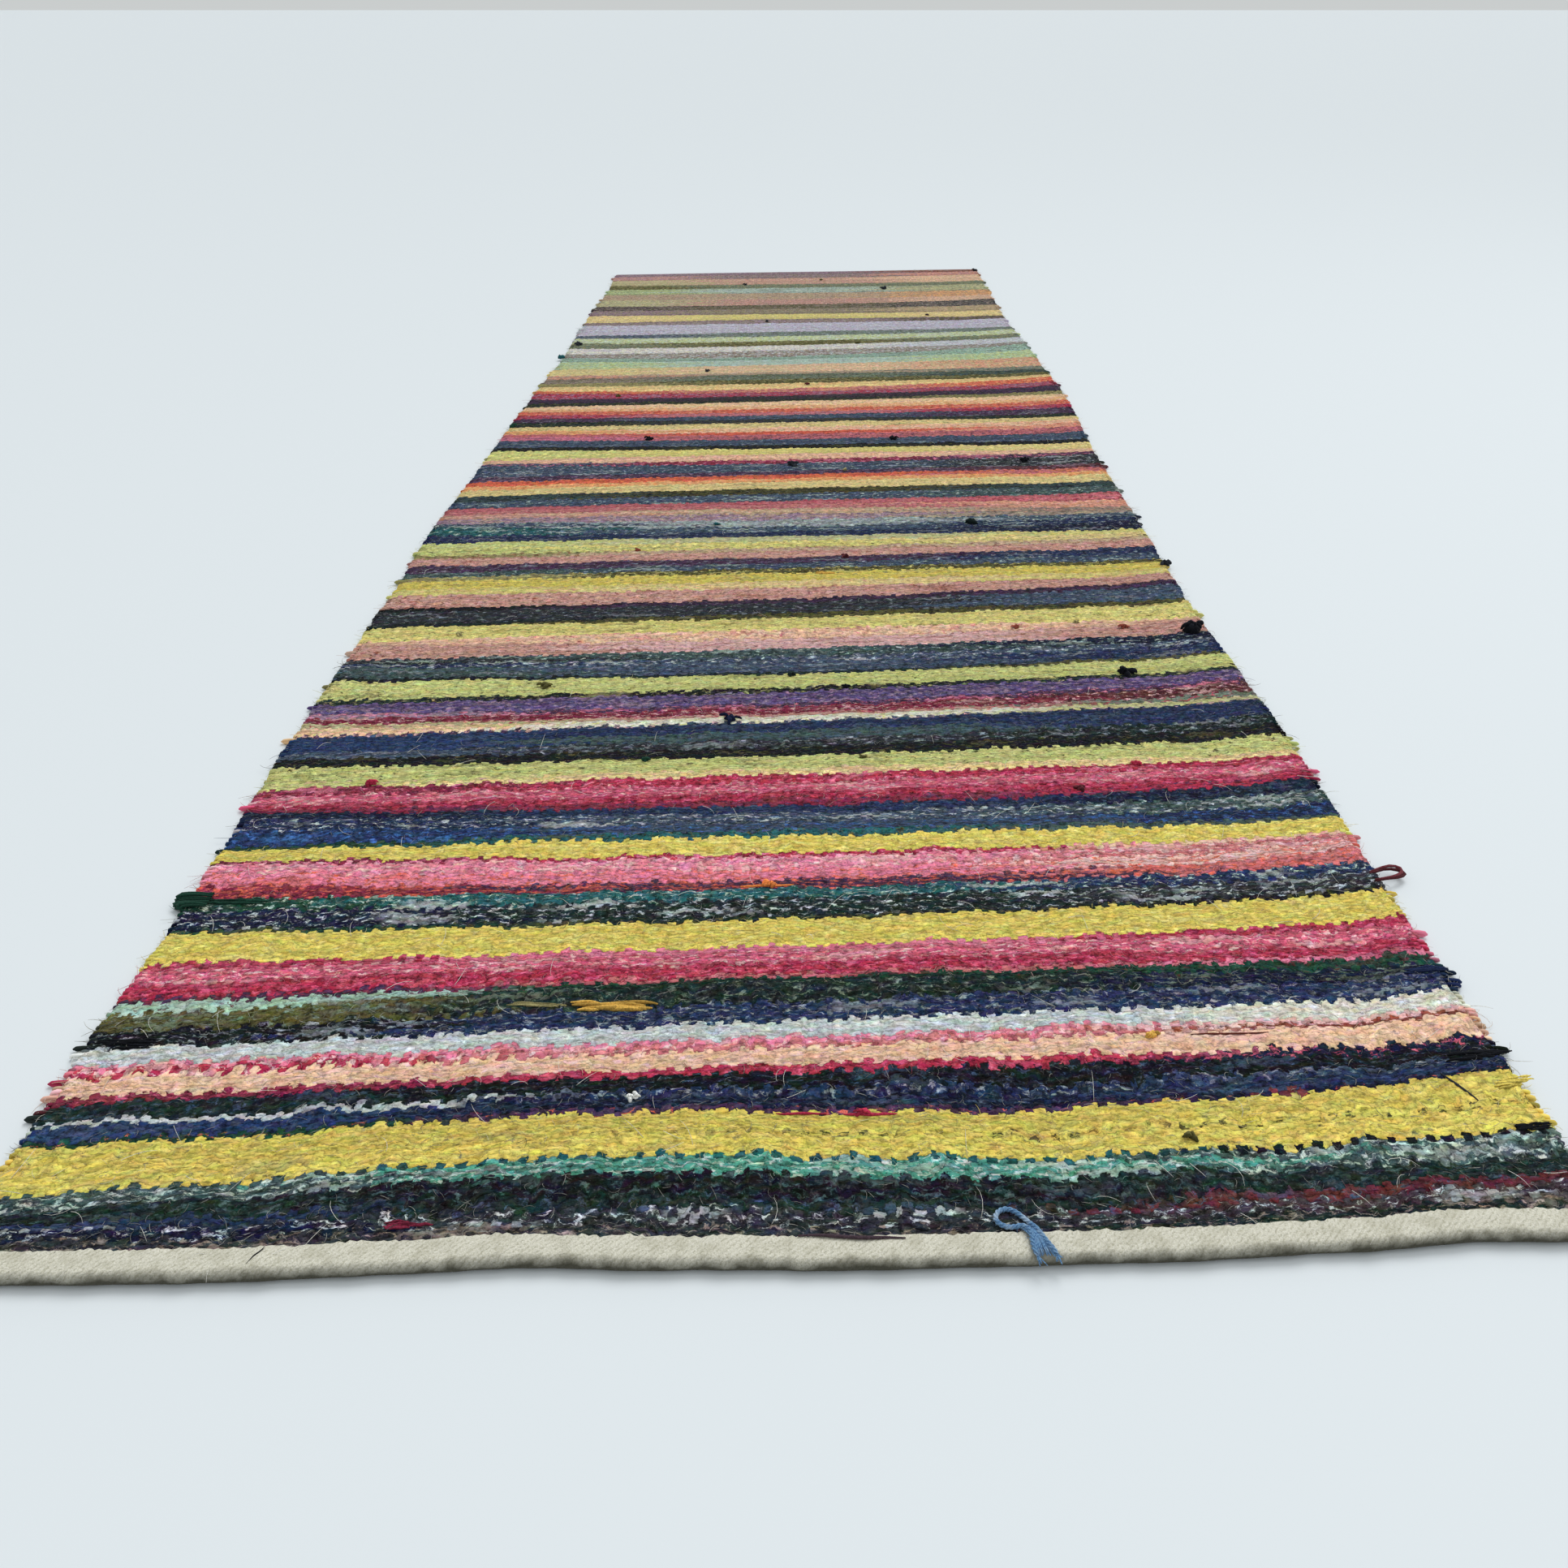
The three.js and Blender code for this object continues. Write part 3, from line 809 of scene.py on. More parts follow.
def yarn_randoms(tree, place):
    """A random shade for each pair of picks, as the weft goes over and comes back, and one for each
    float, and the pair's number."""
    half = add(tree, MATH, place.pick, 0.5, operation="MULTIPLY")
    pair = add(tree, MATH, half, operation="FLOOR")
    by_pair = add(tree, RANDOM, to={"W": pair}, noise_dimensions="1D")
    float_at = add(tree, COMBINE, place.warp, place.pick, 0.5)
    by_float = add(tree, RANDOM, float_at, noise_dimensions="3D")
    return pair, by_pair, by_float


def yarn_across(tree, place, by_pair, by_float, left, middle, right):
    """The left, middle or right yarn. One gives way to the next pick by pick, not on a line."""
    slowly = add(tree, MATH, place.pick, 0.045, operation="MULTIPLY")
    slow = add(tree, NOISE, to={"W": slowly}, noise_dimensions="1D")
    at = place.across_at
    for source, warps in ((slow, 50.0), (by_pair, 26.0), (by_float, 8.0)):
        at = add(tree, MATH, source, warps, at, operation="MULTIPLY_ADD")
    at = add(tree, MATH, at, 42.0, operation="SUBTRACT")
    start, end = (WARPS * part for part in LEFT_GIVES_WAY)
    to_left = add(tree, RANGE, at, end, start, 0.0, 1.0)
    start, end = (WARPS * part for part in RIGHT_TAKES_OVER)
    to_right = add(tree, RANGE, at, start, end, 0.0, 1.0)
    return add(tree, MIX, to_right, add(tree, MIX, to_left, middle, left), right)


def chart_colour(tree, place):
    """The yarn that shows: the chart's own at the left, middle or right, flecked with its second."""
    columns = [[linear(YARNS[row[k]]) for row in STRIPES] for k in (3, 4, 5, 6)]
    left, middle, right, fleck = (chart_channel(tree, place.pick, yarns) for yarns in columns)
    share = chart_channel(tree, place.pick, [[row.share] * 3 + [1] for row in STRIPES])
    pair, by_pair, by_float = yarn_randoms(tree, place)
    base = yarn_across(tree, place, by_pair, by_float, left, middle, right)

    # The fleck shows in short lengths of yarn
    wide = add(tree, MATH, place.across_at, 0.6, operation="MULTIPLY")
    long = add(tree, MATH, place.picks_at, 0.7, operation="MULTIPLY")
    yarn_place = add(tree, COMBINE, wide, long, 0.0)
    detail = {"Detail": 4.0, "Scale": 1.0, "Roughness": 0.7}
    lengths = add(tree, NOISE, yarn_place, to=detail, noise_dimensions="2D")
    lengths = add(tree, MATH, by_float, 0.07, lengths, operation="MULTIPLY_ADD")
    short = add(tree, MATH, share, 0.4, lengths, operation="MULTIPLY_ADD")
    short = add(tree, RANGE, short, 0.70, 0.80, 0.0, 1.0)
    # and here and there along much of a pair of picks
    wide = add(tree, MATH, place.across_at, 0.05, operation="MULTIPLY")
    run_place = add(tree, COMBINE, wide, pair, 0.0)
    runs = add(tree, NOISE, run_place, to={"Detail": 1.0, "Scale": 1.0}, noise_dimensions="2D")
    long = add(tree, MATH, share, 0.35, runs, operation="MULTIPLY_ADD")
    long = add(tree, RANGE, long, 0.70, 0.76, 0.0, 0.5)
    flecked = add(tree, MATH, short, long, operation="MAXIMUM")
    shown = add(tree, MIX, flecked, base, fleck)

    # No two lengths of either yarn took the dye alike
    hues = add(tree, NOISE, yarn_place, to={"Detail": 2.0, "Scale": 0.8}, noise_dimensions="3D")
    hues = hues.outputs["Color"]
    least, spread = (0.69, 0.75, 0.69), (0.6, 0.5, 0.6)
    toned = add(tree, VECTOR_MATH, hues, spread, least, operation="MULTIPLY_ADD")
    shown = add(tree, VECTOR_MATH, shown, toned, operation="MULTIPLY")
    least, spread = (-0.017, -0.019, -0.021), (0.035, 0.04, 0.045)
    stain = add(tree, VECTOR_MATH, hues, spread, least, operation="MULTIPLY_ADD")
    shown = add(tree, VECTOR_MATH, shown, stain, operation="ADD")
    shown = add(tree, VECTOR_MATH, shown, (0.004, 0.004, 0.006), operation="MAXIMUM")
    return shown, by_pair, by_float


def weft_rise(tree, place):
    """A weft's rounded rise over its warp, from 0 to 1."""
    side = add(tree, MATH, place.across, 2.0, -1.0, operation="MULTIPLY_ADD")
    side = add(tree, MATH, side, operation="ABSOLUTE")
    side = add(tree, MATH, side, 3.0, operation="POWER")
    side = add(tree, MATH, side, -0.5, 1.0, operation="MULTIPLY_ADD")
    bow = add(tree, MATH, place.along, math.pi, operation="MULTIPLY")
    bow = add(tree, MATH, bow, operation="SINE")
    bow = add(tree, MATH, bow, 0.0, operation="MAXIMUM")
    bow = add(tree, MATH, bow, 0.7, operation="POWER")
    return add(tree, MATH, bow, side, operation="MULTIPLY")


def tufted(tree, uv, tone):
    """Painted light on tufts that catch it, and painted shade in the hollows between them, some
    millimetres long.
    """
    at = add(tree, MAPPING, uv, to={"Scale": TUFT_SCALE})
    detail = {"Detail": 3.0, "Scale": 1.0, "Roughness": 0.7}
    tufts = add(tree, NOISE, at, to=detail, noise_dimensions="2D")
    painted_hollow_shade = add(tree, RANGE, tufts, 0.32, 0.46, HOLLOW_SHADE, 1.0)
    painted_tuft_light = add(tree, RANGE, tufts, 0.54, 0.70, 1.0, LIT_TUFT)
    # shade holds both the painted shade of the hollows and the painted light of the tufts
    shade = add(tree, MATH, painted_hollow_shade, painted_tuft_light, operation="MULTIPLY")
    return add(tree, MATH, tone, shade, operation="MULTIPLY")


def evened(tree, colour, tone):
    """Less shading on pale yarn, whose loft fills its own hollows with light."""
    light = add(tree, VECTOR_MATH, colour, (0.3, 0.6, 0.1), operation="DOT_PRODUCT")
    share = add(tree, RANGE, light.outputs["Value"], 0.12, 0.5, 0.0, LOFTY_SHARE)
    to_mean = add(tree, MATH, MEAN_TONE, tone, operation="SUBTRACT")
    return add(tree, MATH, to_mean, share, tone, operation="MULTIPLY_ADD")


def striped_wool():
    """Handspun wool weft, packed over its warps: matt, mottled, a little hairy, with painted shade in
    the small gaps where each weft dives between two warps."""
    made, tree, surface = new_material("striped_wool")
    uv = add(tree, UV_MAP, uv_map="weave")
    place = weave_places(tree, uv)
    colour, by_pair, by_float = chart_colour(tree, place)
    rise = weft_rise(tree, place)

    # Fibres along the weft, its thick and thin lengths, rough spots, and slow changes of shade
    noises = []
    scales = ((FIBRE_SCALE, 4.0), (SLUB_SCALE, 3.0), (ROUGH_SCALE, 3.0), (DRIFT_SCALE, 2.0))
    for scale, fineness in scales:
        at = add(tree, MAPPING, uv, to={"Scale": scale})
        detail = {"Detail": fineness, "Scale": 1.0, "Roughness": 0.65}
        noises.append(add(tree, NOISE, at, to=detail, noise_dimensions="2D"))
    fibre, slub, rough, drift = noises

    strengths = (
        (by_pair, 0.3),
        (by_float, 0.14),
        (fibre, 0.9),
        (slub, 1.1),
        (rough, 0.6),
        (drift, 0.8),
    )
    tone = 1.0 - sum(strength for source, strength in strengths) / 2
    for source, strength in strengths:
        tone = add(tree, MATH, source, strength, tone, operation="MULTIPLY_ADD")
    # Painted shade in the gaps where each weft dives between two warps
    deep = add(tree, MATH, slub, 0.8, rise, operation="MULTIPLY_ADD")
    painted_gap_shade = add(tree, RANGE, deep, 0.35, 0.9, GAP_SHADE, 1.0)
    # Painted shade in the pits of the rough spots, which lie low in the bump
    painted_pit_shade = add(tree, RANGE, rough, 0.30, 0.42, PIT_SHADE, 1.0)
    tone = add(tree, MATH, tone, painted_gap_shade, operation="MULTIPLY")
    tone = add(tree, MATH, tone, painted_pit_shade, operation="MULTIPLY")
    tone = tufted(tree, uv, tone)
    tone = evened(tree, colour, tone)
    # The cloth is a little darker away from its bound end
    darkened = add(tree, RANGE, place.picks_at, *FAR_DARKENING_PICKS, YARN_LIFT, FAR_YARN_LIFT)
    tone = add(tree, MATH, tone, darkened, operation="MULTIPLY")
    tone = add(tree, MATH, tone, 0.05, operation="MAXIMUM")
    warm, cool = (1.04, 0.99, 0.91, 1), (0.96, 1.01, 1.08, 1)
    warmth = add(tree, MIX, add(tree, RANGE, drift, 0.3, 0.7, 0.0, 1.0), warm, cool)
    shaded = add(tree, VECTOR_MATH, colour, warmth, operation="MULTIPLY")
    shaded = add(tree, VECTOR_MATH, shaded, to={"Scale": tone}, operation="SCALE")

    # Loose fibre makes a thin pale bloom
    bloom = add(tree, RANGE, rough, 0.58, 0.72, 0.0, BLOOM)
    shaded = add(tree, MIX, bloom, shaded, linear("#B4B3AC"))

    height = rise
    for source, strength in ((fibre, 0.6), (slub, 1.2), (rough, 1.0)):
        height = add(tree, MATH, source, strength, height, operation="MULTIPLY_ADD")
    bump = add(tree, BUMP, to={"Strength": 1.0, "Distance": 0.8 * MM, "Height": height})
    matt = {"Roughness": 0.95, "Specular IOR Level": 0.04}
    sheen = {"Sheen Weight": 0.02, "Sheen Roughness": 0.6}
    feed(tree, surface, {"Base Color": shaded, "Normal": bump, **matt, **sheen})
    return made


def field_rows():
    """The rows of the cloth's mesh: the picks at each, and the columns on its face."""
    close = [(p, CLOSE_COLUMNS) for p in range(CLOSE_PICKS + 1)]
    open_rows = int(round((LAST_PICK - CLOSE_PICKS) / OPEN_STEP))
    rest = np.linspace(CLOSE_PICKS, LAST_PICK, open_rows + 1)[1:]
    return close + [(p, OPEN_COLUMNS) for p in rest]


def weave_relief(pick, warp):
    """The rise of each float over its warp, and its fall between two, along a row of the mesh."""
    strength = WEAVE_RELIEF * smooth((CLOSE_PICKS - pick) / FADING_PICKS)
    over_a_warp = np.arange(len(warp)) % 2 == 1
    up = np.where((pick - np.floor(warp)) % 2 == 1, 1.0, -1.0)
    return np.where(over_a_warp, up, -DIP_SHARE) * strength


def selvedge_side(x, y, under, top, away):
    """The rounded side of the cloth at a selvedge, from its face down to its underside."""
    heights = under + (top - under) * SELVEDGE_HEIGHTS
    return np.stack([x + away * SELVEDGE_BULGE, np.full(3, y), heights], 1)


def cloth_ring(pick, columns, warp_wander, edge_out):
    """A ring round the cloth at a pick, over the face and back underneath: its points, in
    millimetres, and their places in the weave."""
    warp = np.linspace(0, WARPS, columns + 1)
    across = (warp + np.interp(warp, np.arange(WARPS + 1), warp_wander)) / WARPS
    x, y = lie_of(pick, across)
    from_left, from_right = x - x[0], x[-1] - x
    drawn_left = edge_out[0] * np.exp(-from_left / EDGE_REACH)
    drawn_right = edge_out[1] * np.exp(-from_right / EDGE_REACH)
    x = x - drawn_left + drawn_right
    relief = weave_relief(pick, warp) if columns == CLOSE_COLUMNS else 0.0
    top, under = cloth_heights(pick, x, y, relief)
    low = np.linspace(0, columns, UNDERSIDE_COLUMNS + 1).round().astype(int)[::-1]
    face = np.stack([x, y, top], 1)
    right = selvedge_side(x[-1], y[-1], under[-1], top[-1], 1)
    underside = np.stack([x[low], y[low], under[low]], 1)
    left = selvedge_side(x[0], y[0], under[0], top[0], -1)[::-1]
    face[[0, -1], 0] += [SELVEDGE_ROUNDING, -SELVEDGE_ROUNDING]
    underside[[0, -1], 0] += [-SELVEDGE_ROUNDING, SELVEDGE_ROUNDING]
    points = np.concatenate([face, right, underside, left])
    places = np.concatenate([warp, [WARPS] * 3, warp[low], [0] * 3])
    places = np.clip(places, WEAVE_EDGE, WARPS - WEAVE_EDGE)
    return points, np.stack([places, np.full(len(points), float(pick))], 1)


def ring_faces(ring, after):
    """The faces between a ring and the one after it, which may have a quarter of its columns."""
    if ring.columns == after.columns:
        i = np.arange(ring.size)
        j = (i + 1) % ring.size
        sides = [ring.start + i, ring.start + j, after.start + j, after.start + i]
        return np.stack(sides, 1).tolist()
    faces = []
    for k in range(after.columns):
        a = ring.start + 4 * k
        b = after.start + k
        faces += [[a, a + 1, b], [a + 1, a + 2, b], [a + 2, b + 1, b]]
        faces += [[a + 2, a + 3, b + 1], [a + 3, a + 4, b + 1]]
    for k in range(after.size - after.columns):
        a = ring.start + ring.columns + k
        b = ring.start + (ring.columns + k + 1) % ring.size
        c = after.start + (after.columns + k + 1) % after.size
        faces.append([a, b, c, after.start + after.columns + k])
    return faces


def closed_mesh(rings):
    """A closed mesh through rings of points, each with its uv and the columns on its face."""
    points, faces, uv = [], [], []
    before = None
    start = 0
    for ring_points, ring_uv, columns in rings:
        ring = Ring(start, columns, len(ring_points))
        if before:
            faces += ring_faces(before, ring)
        points.append(ring_points)
        uv.append(ring_uv)
        start += ring.size
        before = ring
    faces.append(list(range(len(points[0])))[::-1])
    faces.append(list(range(before.start, start)))
    return np.concatenate(points), faces, np.concatenate(uv)


def field(material):
    """The woven cloth: one closed sheet, close in the mesh by its bound end."""
    rng = np.random.default_rng(11)
    warp_wander = rng.normal(0, WARP_WANDER, WARPS + 1)
    warp_wander[0] = warp_wander[-1] = 0
    bends = np.arange(0, LAST_PICK + EDGE_BEND_PICKS + 1, EDGE_BEND_PICKS)
    selvedges = rng.uniform(-EDGE_WANDER, EDGE_WANDER, (2, len(bends)))
    rings = []
    for pick, columns in field_rows():
        edge_out = [np.interp(pick, bends, selvedge) for selvedge in selvedges]
        rings.append((*cloth_ring(pick, columns, warp_wander, edge_out), columns))
    points, faces, uv = closed_mesh(rings)
    made = piece_of("woven_cloth", points, faces, material, uv=uv)
    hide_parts("woven_field")


def tape_cotton():
    """Cotton twill tape: matt cream, with fine slanting ribs and painted shade in the grooves between
    them, a little soiled, and with painted shade darkest where it turns under at the floor."""
    made, tree, surface = new_material("cotton_twill_tape")
    uv = add(tree, UV_MAP, uv_map="weave")
    detail = {"Scale": TAPE_BEND_SCALE, "Detail": 3.0}
    uneven = add(tree, NOISE, uv, to=detail, noise_dimensions="2D").outputs["Color"]
    bent = add(tree, VECTOR_MATH, uneven, (2.6, 2.6, 0.0), uv, operation="MULTIPLY_ADD")
    detail = {"Scale": TWILL_SCALE, "Distortion": 2.6, "Detail": 3.0, "Detail Scale": 1.3}
    wave = add(tree, "ShaderNodeTexWave", bent, to=detail, bands_direction="DIAGONAL")
    detail = {"Scale": TAPE_THREAD_SCALE, "Detail": 4.0, "Roughness": 0.7}
    fine = add(tree, NOISE, uv, to=detail, noise_dimensions="2D")
    detail = {"Scale": RIB_BREAK_SCALE, "Detail": 2.0}
    broken = add(tree, NOISE, uv, to=detail, noise_dimensions="2D")
    detail = {"Scale": TAPE_SOIL_SCALE, "Detail": 4.0}
    soil = add(tree, NOISE, uv, to=detail, noise_dimensions="2D")

    clean = add(tree, RANGE, fine, 0.35, 0.65, 0.0, 1.0)
    shown = add(tree, MIX, clean, linear("#C6C3B0"), linear("#E6E3D6"))
    # Painted shade in the grooves between the twill's ribs, where the wave, and so the bump, is low
    ribs = add(tree, RANGE, wave, 0.0, 0.45, 0.55, 0.0)
    whole = add(tree, RANGE, broken, 0.42, 0.62, 0.05, 1.0)
    ribs = add(tree, MATH, ribs, whole, operation="MULTIPLY")
    shown = add(tree, MIX, ribs, shown, linear("#938F77"))
    darkened = add(tree, RANGE, soil, 0.45, 0.7, 0.0, 0.35)
    shown = add(tree, MIX, darkened, shown, linear("#A09C84"))
    # Painted shade, darkest where it turns under at the floor, by how far round its section a point
    # lies
    around = add(tree, SEPARATE, uv).outputs[1]
    around = add(tree, MATH, soil, 7.0, around, operation="MULTIPLY_ADD")
    under = add(tree, RANGE, around, 17.5, 25.0, 0.0, 0.9)
    shown = add(tree, MIX, under, shown, linear("#2C2A1E"))

    height = add(tree, MATH, fine, 0.8, wave, operation="MULTIPLY_ADD")
    bump = add(tree, BUMP, to={"Strength": 0.9, "Distance": 0.4 * MM, "Height": height})
    matt = {"Roughness": 0.9, "Specular IOR Level": 0.15}
    feed(tree, surface, {"Base Color": shown, "Normal": bump, **matt})
    return made


def tape_outside():
    """The outside of the folded tape's section, inward from the fold and upward, from its sewn edge
    on top round the fold to its lower edge."""
    nose = BINDING_HEIGHT / 2
    outside = [(BINDING_DEPTH, LEAF_GAP_TOP), *TAPE_TOP]
    for k in range(NOSE_STEPS + 1):
        turn = math.pi / 2 + math.pi * k / NOSE_STEPS
        outside.append((nose + nose * math.cos(turn), nose + nose * math.sin(turn)))
    return outside + [(8, 0), (13, 0), (BINDING_DEPTH, 0)]


def tape_inside():
    """The inside of that section, from its lower edge round the cut end of the web and back."""
    radius = (LEAF_GAP_TOP - TAPE_THICKNESS) / 2
    centre = WEB_END_INSET - CLEARANCE
    inside = [(BINDING_DEPTH, TAPE_THICKNESS), (12, TAPE_THICKNESS)]
    for k in range(POCKET_STEPS + 1):
        turn = -math.pi / 2 - math.pi * k / POCKET_STEPS
        up = TAPE_THICKNESS + radius * (1 + math.sin(turn))
        inside.append((centre + radius * math.cos(turn), up))
    return inside + [(12, LEAF_GAP_TOP)]


def tape(material):
    """The tape folded over the cut end, drawn along the wavy fold, a little puckered by its seam."""
    outside = tape_outside()
    section = np.array(outside + tape_inside(), float)
    n = len(section)
    run = run_along(section)
    outward = section - TAPE_CENTRE
    outward /= np.linalg.norm(outward, axis=1)[:, None]
    puckered = np.clip(section[:, 1] / 5, 0, 1) * (np.arange(n) < len(outside))
    on_top = np.arange(n) <= len(TAPE_TOP)
    by_seam = np.exp(-(((section[:, 0] - SEAM_INSET) / SEAM_REACH) ** 2)) * on_top
    rng = np.random.default_rng(5)
    ragged = rng.normal(0, RAGGEDNESS, TAPE_COLUMNS + 1)
    stitches = np.arange(0, TAPE_COLUMNS + DENT_COLUMNS + 1, DENT_COLUMNS)
    depths = rng.uniform(-SEAM_DENT, 0.1, TAPE_COLUMNS // DENT_COLUMNS + 2)
    dents = np.interp(np.arange(TAPE_COLUMNS + 1), stitches, depths)
    rings = []
    for c in range(TAPE_COLUMNS + 1):
        x = -WIDTH / 2 + WIDTH * c / TAPE_COLUMNS
        long_pucker = 0.3 * math.sin(x / 9.1 + 2 * math.sin(x / 47))
        short_pucker = 0.22 * math.sin(x / 3.7 + math.sin(x / 23))
        shape = section + outward * (puckered * (long_pucker + short_pucker))[:, None]
        shape[:, 1] += dents[c] * by_seam
        shape[:3, 0] += ragged[c]
        from_end = min(x + WIDTH / 2, WIDTH / 2 - x)
        tuck = 1 - END_TUCK * (1 - smooth(from_end / END_TUCK_REACH))
        shape = TAPE_CENTRE + (shape - TAPE_CENTRE) * tuck
        shape[:, 1] = np.maximum(shape[:, 1], 0)
        ring = np.stack([np.full(n, x), fold_line(x) + shape[:, 0], shape[:, 1]], 1)
        rings.append((ring, np.stack([np.full(n, x), run], 1), n))
    points, faces, uv = closed_mesh(rings)
    made = piece_of("folded_tape", points, faces, material, uv=uv)
    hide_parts("end_binding")


def plied_yarn():
    """Soft dyed yarn of several plies: matt, a paler bloom of fibre on its ridges."""
    made, tree, surface = new_material("blue_plied_yarn")
    uv = add(tree, UV_MAP, uv_map="weave")
    detail = {"Scale": TIE_FIBRE_SCALE, "Detail": 4.0}
    fine = add(tree, NOISE, uv, to=detail, noise_dimensions="2D")
    detail = {"Scale": TIE_FADE_SCALE, "Detail": 1.0}
    faded = add(tree, NOISE, uv, to=detail, noise_dimensions="2D")
    fibres = add(tree, RANGE, fine, 0.3, 0.7, 0.0, 1.0)
    colour = add(tree, MIX, fibres, linear("#29588C"), linear("#76A2C6"))
    faded = add(tree, RANGE, faded, 0.5, 0.66, 0.0, 0.55)
    colour = add(tree, MIX, faded, colour, linear("#BCCEDE"))
    bump = add(tree, BUMP, to={"Strength": 0.6, "Distance": 0.3 * MM, "Height": fine})
    soft = {"Roughness": 0.9, "Sheen Weight": 0.2}
    feed(tree, surface, {"Base Color": colour, "Normal": bump, **soft})
    return made


def run_along(line):
    """How far along a line each of its points is."""
    steps = np.linalg.norm(np.diff(line, axis=0), axis=1)
    return np.concatenate([[0], np.cumsum(steps)])


def along_route(route, steps):
    """Points evenly along a smooth curve through a route's points, and its length."""
    p = np.array(route, float)
    padded = np.vstack([2 * p[0] - p[1], p, 2 * p[-1] - p[-2]])
    fine = []
    for i in range(1, len(padded) - 2):
        a, b, c, d = padded[i - 1 : i + 3]
        for t in np.linspace(0, 1, 12, endpoint=False):
            square = (2 * a - 5 * b + 4 * c - d) * t * t
            cube = (3 * b - a - 3 * c + d) * t**3
            fine.append(0.5 * (2 * b + (c - a) * t + square + cube))
    fine = np.array(fine + [p[-1]])
    run = run_along(fine)
    at = np.linspace(0, run[-1], steps + 1)
    return np.stack([np.interp(at, run, fine[:, k]) for k in range(3)], 1), run[-1]


def beside(lines, up=(0, 0, 1)):
    """The directions to the side of lines and over them, at each of their points."""
    tangent = np.gradient(lines, axis=1)
    tangent /= np.linalg.norm(tangent, axis=2, keepdims=True)
    side = np.cross(tangent, np.broadcast_to(np.array(up, float), tangent.shape))
    side /= np.maximum(np.linalg.norm(side, axis=2, keepdims=True), 1e-6)
    return side, np.cross(side, tangent)


def tubes(lines, radius, sides, up=(0, 0, 1), centres=None):
    """Closed tubes along many lines of as many points each, with the radius at each point. Their
    rings are centred on those points, or on centres wound round them."""
    lines = np.asarray(lines, float)
    centres = lines if centres is None else centres
    count, length = lines.shape[:2]
    side, over = beside(lines, up)
    around = 2 * math.pi * np.arange(sides) / sides
    ring = np.cos(around)[:, None] * side[:, :, None] + np.sin(around)[:, None] * over[:, :, None]
    reach = np.broadcast_to(radius, lines.shape[:2])[:, :, None, None]
    points = (centres[:, :, None] + reach * ring).reshape(-1, 3)
    first = np.arange(count) * length * sides
    row = np.arange(length - 1) * sides
    a = (row[:, None] + np.arange(sides)).ravel()
    b = (row[:, None] + (np.arange(sides) + 1) % sides).ravel()
    walls = np.stack([a, a + sides, b + sides, b], 1)
    faces = (first[:, None, None] + walls).reshape(-1, 4).tolist()
    faces += (first[:, None] + np.arange(sides)).tolist()
    faces += (first[:, None] + (length - 1) * sides + np.arange(sides)[::-1]).tolist()
    return points, faces


def strand(line, radius, sides, turn=None, taper=0.0):
    """A closed tube along a line, finer towards its ends, with its uv in millimetres. One with a
    turn is wound round the line as a ply, from that turn on."""
    lines = np.array([line])
    run = run_along(line)
    centres = lines
    if turn is not None:
        side, over = beside(lines)
        wind = turn + 2 * math.pi * run / PLY_PITCH
        wound = np.cos(wind)[:, None] * side[0] + np.sin(wind)[:, None] * over[0]
        centres = lines + PLY_OFFSET * wound
    from_end = np.minimum(run, run[-1] - run)
    radii = radius * (1 - taper * (1 - smooth(from_end / (4 * radius))))
    points, faces = tubes(lines, radii, sides, centres=centres)
    around = 2 * math.pi * np.arange(sides) / sides
    uv = np.stack([np.repeat(run, sides), np.tile(around * radius, len(line))], 1)
    return points, faces, uv


def joined(strands):
    """Several strands as one mesh's points, faces and uv."""
    points, faces, uv = [], [], []
    start = 0
    for its_points, its_faces, its_uv in strands:
        points.append(its_points)
        uv.append(its_uv)
        faces += [[i + start for i in face] for face in its_faces]
        start += len(its_points)
    return np.concatenate(points), faces, np.concatenate(uv)


def tie(material, line):
    """The blue yarn tied through the seam: three plies laid round each other."""
    turns = [2 * math.pi * k / 3 for k in range(3)]
    plies = [strand(line, PLY_RADIUS, 7, turn=turn, taper=0.5) for turn in turns]
    points, faces, uv = joined(plies)
    made = piece_of("seam_tie", points, faces, material, uv=uv)
    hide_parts("yarn_tie")


def frayed_tip(end, before, rng):
    """A fibre that splays out from the cut end of a tail."""
    out = (end - before) / np.linalg.norm(end - before)
    spread = np.array([rng.normal(0, 0.5), rng.normal(0, 0.25), rng.uniform(-0.35, 0.05)])
    far = end + (out + spread) * rng.uniform(2.0, 4.5)
    far[2] = max(far[2], 5.5)
    path = np.vstack([np.linspace(before, end, 4), np.linspace(end, far, 4)[1:]])
    return strand(path, rng.uniform(0.3, 0.5), 5, taper=0.6)


def tail_fibre(line, share, rng):
    """A fibre between the two tails, at a share of the way from the one to the other."""
    near, far = line[TAIL_TOPS[0]], line[TAIL_TOPS[1]]
    start = near + (far - near) * share + [rng.normal(0, 0.3), rng.normal(0, 0.5), -0.3]
    low, out = line[1], line[-2]
    end = low + (out - low) * share + [rng.normal(0, 0.5), rng.uniform(-1.6, 0.8), -0.6]
    near, far = line[TAIL_MIDDLES[0]], line[TAIL_MIDDLES[1]]
    middle = near + (far - near) * share + [rng.normal(0, 0.4), 0, 0.2]
    upper = (start + middle) / 2 + [0, 0, 0.3]
    lower = (middle + end) / 2 + [0, 0, 0.2]
    path = np.array([start, upper, middle, lower, end])
    return strand(path, rng.uniform(0.45, 0.75), 6, taper=0.5)


